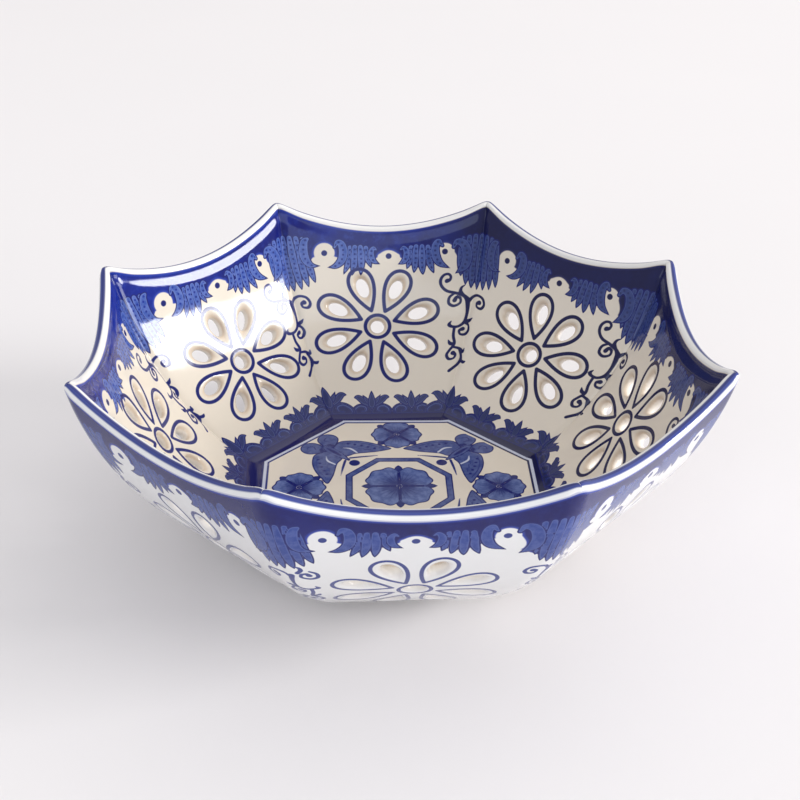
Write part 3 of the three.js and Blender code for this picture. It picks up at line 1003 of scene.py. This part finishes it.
def bare_ground(tree, inside, cloud):
    """The clay under the glaze: cream inside, which is partly painted shade of the bowl's inside, cooler
    outside, and in the cut beds painted shade in tan, turning to painted light near the throats.
    """
    ground = blend(tree, inside, COOL_WHITE, INNER_CREAM_AND_SHADE)
    ground = blend(tree, step_up(tree, cloud, 0.3, 0.75, 0.0, 0.06), ground, CREAM_SHADE)
    cut = mark(tree, "cut")
    # painted shade: tan in the cut beds, stronger on the inner face
    tan = times(tree, step_up(tree, cut, 0.1, 0.7), step_up(tree, inside, 0.0, 1.0, 0.2, 0.6))
    ground = blend(tree, tan, ground, PAINTED_CUT_SHADE)
    # painted light: the throats' walls turn pale
    return blend(tree, step_up(tree, cut, 0.75, 1.0, 0.0, 0.8), ground, PAINTED_THROAT_LIGHT)


# %% The cobalt where the brush was full
COBALT = (0.007, 0.019, 0.225, 1)
COBALT_DEEP = (0.007, 0.010, 0.13, 1)
COBALT_OUTSIDE = (0.009, 0.008, 0.08, 1)
COBALT_SMOKY = (0.012, 0.010, 0.085, 1)
# painted shade: the cobalt's colour on the right inner walls, which lie in shade
COBALT_PAINTED_SHADE = (0.010, 0.010, 0.045, 1)
COBALT_SOFT = (0.03, 0.060, 0.36, 1)
INK = (0.011, 0.014, 0.125, 1)
INK_EDGE = (0.038, 0.050, 0.20, 1)
INK_THIN = (0.07, 0.10, 0.33, 1)


def full_cobalt(tree, on_wall, inside, low, painted_right_shade, cloud, grain):
    """Dark blue that clouds from bright to deep, duller outside, smokier low in the bowl, and darker
    towards the right inner walls as painted shade.
    """
    dark = blend(tree, step_up(tree, cloud, 0.35, 0.65), COBALT, COBALT_DEEP)
    dark = blend(tree, step_up(tree, grain, 0.45, 0.8, 0.0, 0.35), dark, COBALT_SOFT)
    dark = blend(tree, step_up(tree, inside, 0.0, 1.0, 0.65, 0.0), dark, COBALT_OUTSIDE)
    dark = blend(tree, low, dark, COBALT_SMOKY if on_wall else INK)
    return blend(tree, times(tree, painted_right_shade, 0.85), dark, COBALT_PAINTED_SHADE) if on_wall else dark


# %% The leaves and the petals
LEAF_BLUE = (0.036, 0.078, 0.32, 1)
LEAF_LIGHT = (0.10, 0.15, 0.42, 1)
LEAF_RIM = (0.13, 0.19, 0.48, 1)
# leaves low in the bowl, and leaves in the painted shade of the right inner walls
LEAF_SMOKY_AND_SHADED = (0.030, 0.040, 0.13, 1)
PETAL_BLUE = (0.070, 0.100, 0.27, 1)
PETAL_LIGHT = (0.15, 0.195, 0.40, 1)
DOT_STEP = 1.9                       # mm from one dot along a leaf to the next


def wall_leaf(tree, leaf, inside, low, painted_right_shade, grain, dark):
    """A leaf's body: soft blue with a row of dots along it, darker low in the bowl and in the painted shade
    of the right inner walls, and a lighter rim that fades in that painted shade. A dot's reach is the
    square root of beat squared plus side squared."""
    along, side = mark(tree, "along"), mark(tree, "side")
    body = blend(tree, step_up(tree, grain, 0.3, 0.7), LEAF_BLUE, LEAF_LIGHT)
    beat = maths(tree, "SUBTRACT", maths(tree, "FRACT", maths(tree, "DIVIDE", along, DOT_STEP)), 0.5)
    beat = times(tree, beat, DOT_STEP)
    squares = [maths(tree, "POWER", maths(tree, "ABSOLUTE", value), 2.0) for value in (beat, side)]
    reach = maths(tree, "SQRT", maths(tree, "ADD", *squares))
    dots = times(tree, step_up(tree, reach, 0.55, 0.35), maths(tree, "SUBTRACT", inside, low))
    body = blend(tree, times(tree, dots, 0.85), body, dark)
    rim = times(tree, step_up(tree, leaf, 0.85, 0.6, 0.0, 0.7), step_up(tree, painted_right_shade, 0.0, 1.0, 1.0, 0.3))
    body = blend(tree, times(tree, maths(tree, "MAXIMUM", low, painted_right_shade), 0.75), body, LEAF_SMOKY_AND_SHADED)
    body = blend(tree, rim, body, LEAF_RIM)
    return blend(tree, step_up(tree, inside, 0.0, 1.0, 0.4, 0.0), body, dark)


def floor_petal(tree, grain):
    """A petal's body: greyer blue, with fine veins out to its edge and a dark root."""
    along, side = mark(tree, "along"), mark(tree, "side")
    body = blend(tree, step_up(tree, grain, 0.3, 0.7), PETAL_BLUE, PETAL_LIGHT)
    beat = maths(tree, "ABSOLUTE", maths(tree, "SUBTRACT", maths(tree, "FRACT", side), 0.5))
    vein = times(tree, step_up(tree, beat, 0.2, 0.06), step_up(tree, along, 0.85, 0.3))
    body = blend(tree, times(tree, vein, 0.5), body, INK)
    return blend(tree, step_up(tree, along, 0.75, 0.1, 0.0, 0.85), body, INK)


# %% The whole painted glaze
# the band's soft edge low in the bowl, and in the painted shade of the right inner walls
SMOKY_AND_SHADED_EDGE = (0.022, 0.025, 0.11, 1)
PALE_BLUE = (0.55, 0.57, 0.67, 1)
EDGE = 0.1                           # how softly a mark ends, in mm
LOW_FROM, LOW_TO = 0.034, 0.022      # heights in metres: below them the bowl's blue is smokier
RIGHT_SHADE_FROM, RIGHT_SHADE_TO = -0.005, 0.045     # to the right of these the cobalt is darkened, as painted shade of the right inner walls


def painted_glaze(name, on_wall):
    """The ground, the band, the leaves and the lines, each laid over the one before it, under glaze."""
    material, tree, place = new_material(name)
    cloud, grain = noise(tree, place, 70, 3.0), noise(tree, place, 420, 3.0, 0.6)
    inside = mark(tree, "inside")
    where = add_node(tree, "ShaderNodeSeparateXYZ", {0: place}).outputs
    low = times(tree, step_up(tree, where["Z"], LOW_FROM, LOW_TO), inside)
    # painted shade: the inner face darkens towards +X, where its walls lie in shade
    painted_right_shade = times(tree, step_up(tree, where["X"], RIGHT_SHADE_FROM, RIGHT_SHADE_TO), inside)
    dark = full_cobalt(tree, on_wall, inside, low, painted_right_shade, cloud, grain)

    band = mark(tree, "band")
    wash = blend(tree, maths(tree, "MAXIMUM", low, painted_right_shade), COBALT_SOFT, SMOKY_AND_SHADED_EDGE)
    wash = blend(tree, step_up(tree, band, -0.1, 1.3), wash, dark)
    colour = blend(tree, step_up(tree, band, -0.25, 0.25), bare_ground(tree, inside, cloud), wash)

    leaf = mark(tree, "leaf")
    body = wall_leaf(tree, leaf, inside, low, painted_right_shade, grain, dark) if on_wall else floor_petal(tree, grain)
    body = blend(tree, mark(tree, "tone"), body, dark)
    filled = blend(tree, step_up(tree, leaf, 0.32, 0.58), INK, body)
    colour = blend(tree, step_up(tree, leaf, -EDGE, EDGE), colour, filled)
    colour = blend(tree, step_up(tree, mark(tree, "pale"), -EDGE, EDGE), colour, PALE_BLUE)

    line = mark(tree, "line")
    ink = blend(tree, step_up(tree, line, 0.0, 0.45), INK_EDGE, INK)
    if on_wall:
        # painted shade darkens the lines on the right inner walls too
        ink = blend(tree, times(tree, painted_right_shade, 0.8), ink, COBALT_PAINTED_SHADE)
        ink = blend(tree, step_up(tree, inside, 0.0, 0.2, 0.4, 0.0), ink, INK_THIN)
    finish_glaze(tree, blend(tree, step_up(tree, line, -EDGE, EDGE), colour, ink), place)
    return material


wall_glaze = painted_glaze("painted wall glaze", on_wall=True)
floor_glaze = painted_glaze("painted floor glaze", on_wall=False)
print("made", wall_glaze.name, "and", floor_glaze.name)


# %% Make the eight panels
for index in range(SIDES):
    points, triangles, normals, marks, places = build_panel(index)
    angle = panel_turn(index)
    node = f"wall_panel_{index + 1}"
    points, normals = turned(points, angle), turned(normals, angle)
    panel = make_piece(f"glazed_{node}", points, triangles, normals, marks, places)
    panel.data.materials.append(wall_glaze)
    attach(panel, "root")
    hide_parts(node)

# %% [markdown]
# ## The painted floor
# The floor is an octagonal slab. Its grid is square in its numbers: each square ring of points is
# laid along an octagon, so cells stay even and the octagon's corners are kept. The painting on it
# was laid a few millimetres towards the back, so its centre is set off by that much.

# %% Draw the floor's painting
FLOOR_EDGE = section(np.array(PANEL_LENGTH), 0.0)[0]
FRAME_OUTER, FRAME_INNER = 19.0, 16.4
PATTERN_X, PATTERN_Y = -0.2, 3.1
FLOOR_CELLS = 110
# a petal: how far it spreads, how far out its edge is at its sides and how much more in its middle
PETAL_SPREAD = math.radians(45.5)
PETAL_SIDE, PETAL_CROWN, PETAL_WAVE, PETAL_VEINS = 0.56, 0.44, 0.035, 3.5
PETAL_ROOM = 0.4
EDGE_SHARE, SIDE_SHARE = 0.85, 0.7   # how quickly its depth grows from its edge and from its sides
SEPAL = [(0.12, 0.4), (0.6, 0.9), (0.8, 1.5), (1, 0.0)]     # share of the way out, and half width
SEPAL_TONE, RING_HALF = 0.9, 0.08


def paint_petal(painting, centre, turn, reach):
    """A fan-shaped petal. Its edge is the reach, drawn in towards its sides by the root of one minus
    the cube of the share of its spread, times a wave of three lobes.

    Its veins follow the angle round the flower's centre, and along is the share of the way out.
    """
    dx, dy = painting.x - centre[0], painting.y - centre[1]
    out, angle = np.hypot(dx, dy), np.arctan2(dy, dx) - turn
    angle = (angle + math.pi) % (2 * math.pi) - math.pi
    spots = np.flatnonzero((out < reach + MARGIN) & (np.abs(angle) < PETAL_SPREAD + PETAL_ROOM))
    out, share = out[spots], angle[spots] / PETAL_SPREAD
    rounding = PETAL_SIDE + PETAL_CROWN * np.sqrt(np.maximum(1 - np.abs(share)**3, 0))
    edge = reach * rounding * (1 + PETAL_WAVE * np.cos(3 * math.pi * share))
    sides = out * np.sin(PETAL_SPREAD * (1 - np.abs(share)))
    depth = np.minimum(EDGE_SHARE * (edge - out), SIDE_SHARE * sides)
    painting.fill_leaf(spots, depth, out / reach, PETAL_VEINS * share)


def paint_flower_head(painting, centre, first_turn, reach, sepal):
    """Four petals, four dark sepals between them and a small ring in the middle."""
    x, y = centre
    painting.tone = SEPAL_TONE
    for k in range(4):
        turn = first_turn + math.pi / 4 + k * math.pi / 2
        line = [(share * sepal, half) for share, half in SEPAL]
        painting.leaf([(x + out * math.cos(turn), y + out * math.sin(turn), half) for out, half in line])
    painting.tone = 0.0
    for k in range(4):
        paint_petal(painting, centre, first_turn + k * math.pi / 2, reach)
    ring = [(x + math.cos(t), y + math.sin(t), RING_HALF) for t in np.linspace(0, 2 * math.pi, 9)]
    painting.stroke("pale", ring)


# %% Draw a butterfly
# half a butterfly, as distance outwards and sideways, and then half width; the other half is mirrored
WING = [(36.0, 3.6), (36.3, 7.0), (32.8, 11.2), (28.4, 13.9), (23.4, 15.6), (19.4, 16.4),
        (21.2, 12.0), (23.6, 8.4), (26.3, 4.6), (27.4, 1.2), (31.0, 0.4), (34.5, 0.6)]
WING_LINES = [
    [(34.4, 7.0, 0.2), (31.6, 10.2, 0.25), (27.4, 12.7, 0.25), (22.4, 14.2, 0.2)],
    [(25.8, 1.2, 0.5), (23.0, 5.2, 0.45), (19.8, 9.4, 0.2)],
    [(38.8, 3.6, 0.3), (40.8, 2.8, 0.3), (41.8, 4.6, 0.3), (40.6, 6.0, 0.25)],
    *([(d, e, 0.65)] for d, e in ((33.2, 7.6), (31.0, 8.9), (28.8, 10.2), (26.4, 11.2), (24.0, 12.2))),
    *([(d, e, 0.2), (d - 1.6, e + 1.6, 0.25)] for d, e in ((30.4, 6.6), (28.2, 7.8), (26.0, 9.0))),
]
WING_PALE = [(32.6, 4.2, 0.2), (30.2, 5.8, 0.4), (26.6, 5.6, 0.35)]
WING_HEAD = [(37.6, 2.4, 2.4), (40.2, 4.1, 3.9), (40.3, 4.2, 3.9)]
BODY = [(38.5, 0, 0.8), (35.0, 0, 1.9), (31.0, 0, 1.9), (27.6, 0, 1.1), (25.2, 0, 0.6)]
BODY_LINE = [(36.5, 0, 0.4), (33.0, 0, 0.8), (29.5, 0, 0.5)]
WING_MARGIN = 1
PLAIN_ALONG, PLAIN_SIDE = 1.0, 0.5   # marks that leave a filled shape without veins


def fill_plain(painting, spots, depth):
    """Fills a shape that has no veins."""
    painting.fill_leaf(spots, depth, np.full(len(spots), PLAIN_ALONG), np.full(len(spots), PLAIN_SIDE))


def paint_butterfly(painting, turn):
    """A butterfly across one diagonal, from its half on each side and its body."""
    c, s = math.cos(turn), math.sin(turn)

    def place(points, side=1):
        return [(PATTERN_X + c * d - side * s * e, PATTERN_Y + s * d + side * c * e, *rest)
                for d, e, *rest in points]

    for side in (-1, 1):
        wing = np.array(place(WING, side))
        loop = smooth_line(np.vstack([wing, wing[:1]]))[:-1]
        spots = within(painting.x, painting.y, loop.min(0) - WING_MARGIN, loop.max(0) + WING_MARGIN)
        depth, _ = loop_depth(painting.x[spots], painting.y[spots], loop)
        fill_plain(painting, spots, depth)
        painting.leaf(place(WING_HEAD, side))
        painting.stroke("pale", place(WING_PALE, side))
        for line in WING_LINES:
            painting.stroke("line", place(line, side))
    painting.leaf(place(BODY))
    painting.stroke("line", place(BODY_LINE))


# %% Draw the whole floor
FRAME_TONE, BUTTERFLY_TONE = 0.45, 0.42
MIDDLE_RAISED, MIDDLE_REACH, MIDDLE_SEPAL = 0.6, 13.0, 13.6
FLOWERS_OUT, FLOWER_REACH, FLOWER_SEPAL = 35.2, 9.3, 9.9
DOTS_OUT, DOT_HALF = 22.3, 2.0
BELOW_CROWNS = 9                     # the floor lies this far below the crowns' base, on the drawing


def paint_floor(plan_x, plan_y):
    """The octagonal frame with a flower, dots at its corners, four flowers and four butterflies."""
    x, y = drawing_place(plan_x, plan_y)
    painting = Painting(x, y)
    painting.tone = FRAME_TONE
    frame_depth = apothem(x - PATTERN_X, y - PATTERN_Y)
    centre, half = (FRAME_OUTER + FRAME_INNER) / 2, (FRAME_OUTER - FRAME_INNER) / 2
    fill_plain(painting, np.arange(len(x)), half - np.abs(frame_depth - centre))
    painting.tone = 0.0
    middle = (PATTERN_X, PATTERN_Y + MIDDLE_RAISED)
    paint_flower_head(painting, middle, math.pi / 4, MIDDLE_REACH, MIDDLE_SEPAL)
    for k in range(4):
        turn = k * math.pi / 2
        centre = (PATTERN_X + FLOWERS_OUT * math.cos(turn), PATTERN_Y + FLOWERS_OUT * math.sin(turn))
        paint_flower_head(painting, centre, turn, FLOWER_REACH, FLOWER_SEPAL)
        turn += math.pi / 4
        painting.tone = BUTTERFLY_TONE
        paint_butterfly(painting, turn)
        painting.tone = 0.0
        dot = (PATTERN_X + DOTS_OUT * math.cos(turn), PATTERN_Y + DOTS_OUT * math.sin(turn), DOT_HALF)
        painting.stroke("line", [dot])
    painting.y = np.full(len(x), CROWN_BASE + 2 * BAND_BELOW + BELOW_CROWNS)
    paint_floor_lines(painting, apothem(x, y))
    painting.marks["inside"] = np.ones(len(x))
    painting.marks["cut"] = np.zeros(len(x))
    return painting.marks


# %% Build the floor
UNDER_RINGS = (1.0, 0.75, 0.5, 0.25)     # of the underside, as shares of the way out
FLOOR_MAP_ROOM, UNDER_MAP_SHARE = 1.1, 0.9


def octagon_grid(cells):
    """Points of a square grid laid on a unit octagon.

    A point's larger coordinate is its ring. The smaller one, as a share t of it, runs along a side
    up to t = 1/2 and then along half of the next side, to its middle at t = 1.
    """
    line = np.linspace(-1, 1, 2 * cells + 1)
    a, b = np.meshgrid(line, line, indexing="ij")
    ring = np.maximum(np.abs(a), np.abs(b))
    small = np.where(np.abs(a) >= np.abs(b), b, a)
    t = small / np.maximum(ring, 1e-12)
    past = np.clip(2 * np.abs(t) - 1, 0, 1)
    diagonal = math.sqrt(0.5)
    main = 1 + (diagonal - 1) * past
    cross = np.sign(t) * (SLOPE * np.minimum(2 * np.abs(t), 1) + (diagonal - SLOPE) * past)
    x = np.where(np.abs(a) >= np.abs(b), np.sign(a) * main, cross) * ring
    y = np.where(np.abs(a) >= np.abs(b), cross, np.sign(b) * main) * ring
    return x, y


def build_floor():
    """The slab: the painted grid on top, an upright edge and a plain underside of a few rings."""
    x, y = octagon_grid(FLOOR_CELLS)
    side = x.shape[0]
    number = np.arange(x.size).reshape(side, side)
    a, b, c, d = number[:-1, :-1], number[1:, :-1], number[1:, 1:], number[:-1, 1:]
    top = np.concatenate([np.stack([a, b, c], -1).reshape(-1, 3), np.stack([a, c, d], -1).reshape(-1, 3)])
    border = np.concatenate([number[:-1, 0], number[-1, :-1], number[:0:-1, -1], number[0, :0:-1]])
    flat = np.stack([x.ravel(), y.ravel()], 1) * FLOOR_EDGE
    under = [flat[border] * share for share in UNDER_RINGS]
    points = np.vstack([np.column_stack([flat, np.full(x.size, FLOOR_TOP)]),
                        *[np.column_stack([ring, np.full(len(ring), FOOT_HEIGHT)]) for ring in under],
                        [[0, 0, FOOT_HEIGHT]]])
    steps = np.arange(len(border))
    loops = [border, *(x.size + k * len(border) + steps for k in range(len(under)))]
    closed = [np.append(loop, loop[0]) for loop in loops]
    sides = [strip_triangles(low, high) for low, high in zip(closed[1:], closed)]
    hub = np.stack([closed[-1][1:], closed[-1][:-1], np.full(len(border), len(points) - 1)], 1)
    triangles = np.concatenate([top, *sides, hub])
    marks = paint_floor(points[:, 0], points[:, 1])
    below = np.arange(len(points)) >= x.size
    for name in DEPTH_MARKS:
        marks[name] = np.where(below, FAR, marks[name])
    marks["inside"] = np.where(below, 0.0, 1.0)
    normals = np.where(below[:, None], (0.0, 0.0, -1.0), (0.0, 0.0, 1.0))
    spread = points[:, :2] / FLOOR_EDGE / FLOOR_MAP_ROOM / 2
    lower = below[triangles].any(1)[:, None, None]
    places = spread[triangles] * np.where(lower, UNDER_MAP_SHARE, 1) + (0.5, 0.5)
    places = places * (0.5, 1) + np.where(lower, (0.5, 0.0), (0.0, 0.0))
    return points, triangles, normals, marks, places


slab = make_piece("glazed_floor", *build_floor())
slab.data.materials.append(floor_glaze)
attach(slab, "root")
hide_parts("floor")

# %% [markdown]
# ## The foot ring
# The bowl stands on a low octagonal ring. The glaze runs down its sides and is wiped off the
# resting face before firing, which leaves a band of bare, matt clay with a slightly toasted edge.

# %% Build the foot ring
FOOT_OUTER, FOOT_INNER = 43.42, 37.51          # apothems where the ring leaves the underside
FOOT_CORNER = 7.0                              # rounding of its eight corners
FOOT_COLUMNS = 720
# distance out from the root's middle and height, round the ring's section
FOOT_PROFILE = [(2.9, 5.0), (2.62, 4.2), (2.25, 3.0), (1.9, 1.6), (1.72, 0.7), (1.35, 0.14), (0.8, 0.0),
                (0.0, 0.0), (-0.8, 0.0), (-1.35, 0.14), (-1.72, 0.7), (-1.9, 1.6), (-2.25, 3.0),
                (-2.62, 4.2), (-2.9, 5.0)]


def rounded_octagon(radius):
    """Points round an octagon with rounded corners, at even angles: each one's angle and distance out.

    A corner is drawn in by the square of the share of the way from its arc's start to the corner.
    """
    turn = np.linspace(-math.pi, math.pi, FOOT_COLUMNS, endpoint=False)
    local = (turn + HALF_SIDE) % (2 * HALF_SIDE) - HALF_SIDE
    run = radius * math.tan(HALF_SIDE)
    over = (np.abs(np.tan(local)) * radius - (run - FOOT_CORNER * SLOPE)) / (FOOT_CORNER * SLOPE)
    drawn = FOOT_CORNER * (1 / math.cos(HALF_SIDE) - 1) * np.clip(over, 0, 1)**2
    return turn, radius / np.cos(local) - drawn


def build_foot():
    """The ring's section carried round the rounded octagon."""
    middle = (FOOT_OUTER + FOOT_INNER) / 2
    turn, out = rounded_octagon(middle)
    profile = smooth_line(FOOT_PROFILE, 3)
    height = np.clip(profile[:, 1:], 0, FOOT_HEIGHT)
    radius = out[None, :] * (1 + profile[:, :1] / middle)
    upright = np.broadcast_to(height, radius.shape)
    points = np.stack([radius * np.cos(turn), radius * np.sin(turn), upright], -1)
    number = np.arange(radius.size).reshape(radius.shape)
    around = np.concatenate([number, number[:, :1]], 1)
    rows = [*around, around[0]]
    triangles = np.concatenate([strip_triangles(high, low) for low, high in zip(rows, rows[1:])])
    points = points.reshape(-1, 3)
    across, down = np.linspace(0.01, 0.99, FOOT_COLUMNS + 1), np.linspace(0.02, 0.98, len(rows))
    corner = np.stack(np.meshgrid(across, down), -1)
    places = []
    for low, high in zip(corner, corner[1:]):
        a, b, c, d = high[:-1], high[1:], low[1:], low[:-1]
        places += [np.stack([a, b, c], 1), np.stack([a, c, d], 1)]
    return points, triangles, smooth_normals(points, triangles), {}, np.concatenate(places)


# %% Clay and glaze of the foot
CLAY, CLAY_PALE = (0.66, 0.60, 0.51, 1), (0.80, 0.75, 0.67, 1)
TOASTED = (0.55, 0.36, 0.22, 1)
GREY_WHITE = (0.62, 0.63, 0.66, 1)
GLAZE_STARTS, WAVER = 0.0008, 0.00025    # metres above the rest, and how uneven that line is


def foot_material():
    """Glaze on the sides and bare clay on the resting face, parted by an uneven line."""
    material, tree, place = new_material("foot clay and glaze")
    height = add_node(tree, "ShaderNodeSeparateXYZ", {0: place}).outputs["Z"]
    waver = step_up(tree, noise(tree, place, 120, 3.0), 0.3, 0.7, -WAVER, WAVER)
    height = maths(tree, "ADD", height, waver)
    glazed = step_up(tree, height, 0.0007, 0.0009)
    grain = noise(tree, place, 2200, 4.0, 0.7)
    from_line = maths(tree, "ABSOLUTE", maths(tree, "SUBTRACT", height, GLAZE_STARTS))
    rim = step_up(tree, from_line, 0.0006, 0.0)
    clay = blend(tree, times(tree, rim, 0.5), blend(tree, grain, CLAY, CLAY_PALE), TOASTED)
    cloud = step_up(tree, noise(tree, place, 70, 3.0), 0.3, 0.7, 0.0, 0.08)
    colour = blend(tree, glazed, clay, blend(tree, cloud, COOL_WHITE, GREY_WHITE))
    bump = add_node(tree, "ShaderNodeBump", {"Strength": step_up(tree, glazed, 0.0, 1.0, 0.5, 0.02),
                                             "Distance": 0.0002, "Height": grain})
    add_surface(tree, {"Base Color": colour, "Roughness": step_up(tree, glazed, 0.0, 1.0, 0.78, 0.08),
                       "Normal": bump.outputs[0]})
    return material


foot = make_piece("foot_ring_unglazed_rest", *build_foot())
foot.data.materials.append(foot_material())
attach(foot, "root")
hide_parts("foot_ring")

# %% [markdown]
# ## The table, the light and the camera
# The bowl stands on a plain white sheet in a pale room, with soft light from above. Glaze mirrors
# whatever is bright, so the lamps have the sizes and places of a ceiling and of windows: a pane on
# the right makes the bright patch in the left of the bowl, and a cool light behind the camera keeps
# the near walls bluish. The camera looks down at 30 degrees, from where the photograph was taken.

# %% Set the stage
SHEET_HALF = 3.0


def stage_material():
    """A matt white sheet with the faintest mottling."""
    material, tree, place = new_material("white sheet")
    colour = blend(tree, noise(tree, place, 6, 2.0), (0.80, 0.765, 0.752, 1), (0.82, 0.78, 0.767, 1))
    add_surface(tree, {"Base Color": colour, "Roughness": 0.9})
    return material


corners = [(SHEET_HALF * x, SHEET_HALF * y, 0) for x, y in ((-1, -1), (1, -1), (1, 1), (-1, 1))]
sheet_mesh = bpy.data.meshes.new("table_sheet")
sheet_mesh.from_pydata(corners, [], [(0, 1, 2, 3)])
table_sheet = bpy.data.objects.new("table_sheet", sheet_mesh)
bpy.context.scene.collection.objects.link(table_sheet)
sheet_mesh.materials.append(stage_material())

# %% Light it softly
ROOM_COLOUR, ROOM_STRENGTH = (0.97, 0.975, 1.0, 1), 0.6
LIT_POINT = Vector((0, 0, 0.04))     # the middle of the bowl, which every lamp faces
# name, compass angle, height angle, distance, width, height, power, colour and roll
LAMPS = [
    ("ceiling", 82, 74, 6.0, 7.0, 7.0, 102, (1.0, 0.985, 0.975), 0),
    ("window", 50, 38, 6.0, 4.8, 3.6, 22, (1.0, 0.985, 0.97), 0),
    ("window_pane", -8, 19.3, 5.8, 2.0, 1.25, 235, (0.98, 0.99, 1.0), 25),
    ("side_window", -30, 8, 6.0, 1.8, 1.6, 85, (0.97, 0.985, 1.0), 0),
    ("front_fill", -108, 27, 6.0, 4.6, 4.0, 112, (0.74, 0.85, 1.0), 0),
]


def looking_from(azimuth, elevation):
    """The way out at a compass angle and a height angle, both in radians."""
    level = math.cos(elevation)
    return Vector((math.cos(azimuth) * level, math.sin(azimuth) * level, math.sin(elevation)))


def soft_light(name, azimuth, elevation, distance, width, height, power, colour, roll):
    """A rectangular lamp that faces the bowl, rolled about its own axis by some degrees."""
    lamp = bpy.data.lights.new(name, "AREA")
    lamp.shape, lamp.size, lamp.size_y = "RECTANGLE", width, height
    lamp.energy, lamp.color = power, colour
    holder = bpy.data.objects.new(name, lamp)
    away = looking_from(math.radians(azimuth), math.radians(elevation))
    holder.location = away * distance + LIT_POINT
    holder.rotation_mode = "QUATERNION"
    holder.rotation_quaternion = away.to_track_quat("Z", "Y") @ Quaternion((0, 0, 1), math.radians(roll))
    bpy.context.scene.collection.objects.link(holder)


world = bpy.data.worlds.new("soft room")
world.use_nodes = True
room = world.node_tree.nodes["Background"]
room.inputs[0].default_value = ROOM_COLOUR
room.inputs[1].default_value = ROOM_STRENGTH
bpy.context.scene.world = world
for lamp_values in LAMPS:
    soft_light(*lamp_values)
print("lit by a soft room and", ", ".join(lamp_values[0] for lamp_values in LAMPS))

# %% Place the camera
CAMERA_TURN, CAMERA_RISE = math.radians(-94.1), math.radians(29.98)
CAMERA_DISTANCE, CAMERA_ROLL = 0.4443, math.radians(1.01)
CAMERA_TARGET = Vector((0.000985, -0.00007, 0.04704))
CAMERA_LENS, CAMERA_SENSOR = 59.61, 36
camera_data = bpy.data.cameras.new("camera")
camera_data.sensor_width, camera_data.lens = CAMERA_SENSOR, CAMERA_LENS
camera_data.clip_start, camera_data.clip_end = 0.01, 20
camera = bpy.data.objects.new("camera", camera_data)
back = looking_from(CAMERA_TURN, CAMERA_RISE)
camera.location = CAMERA_TARGET + back * CAMERA_DISTANCE
camera.rotation_mode = "QUATERNION"
camera.rotation_quaternion = (-back).to_track_quat("-Z", "Y") @ Quaternion((0, 0, 1), CAMERA_ROLL)
bpy.context.scene.collection.objects.link(camera)
bpy.context.scene.camera = camera
bpy.context.scene.view_settings.view_transform = "Standard"
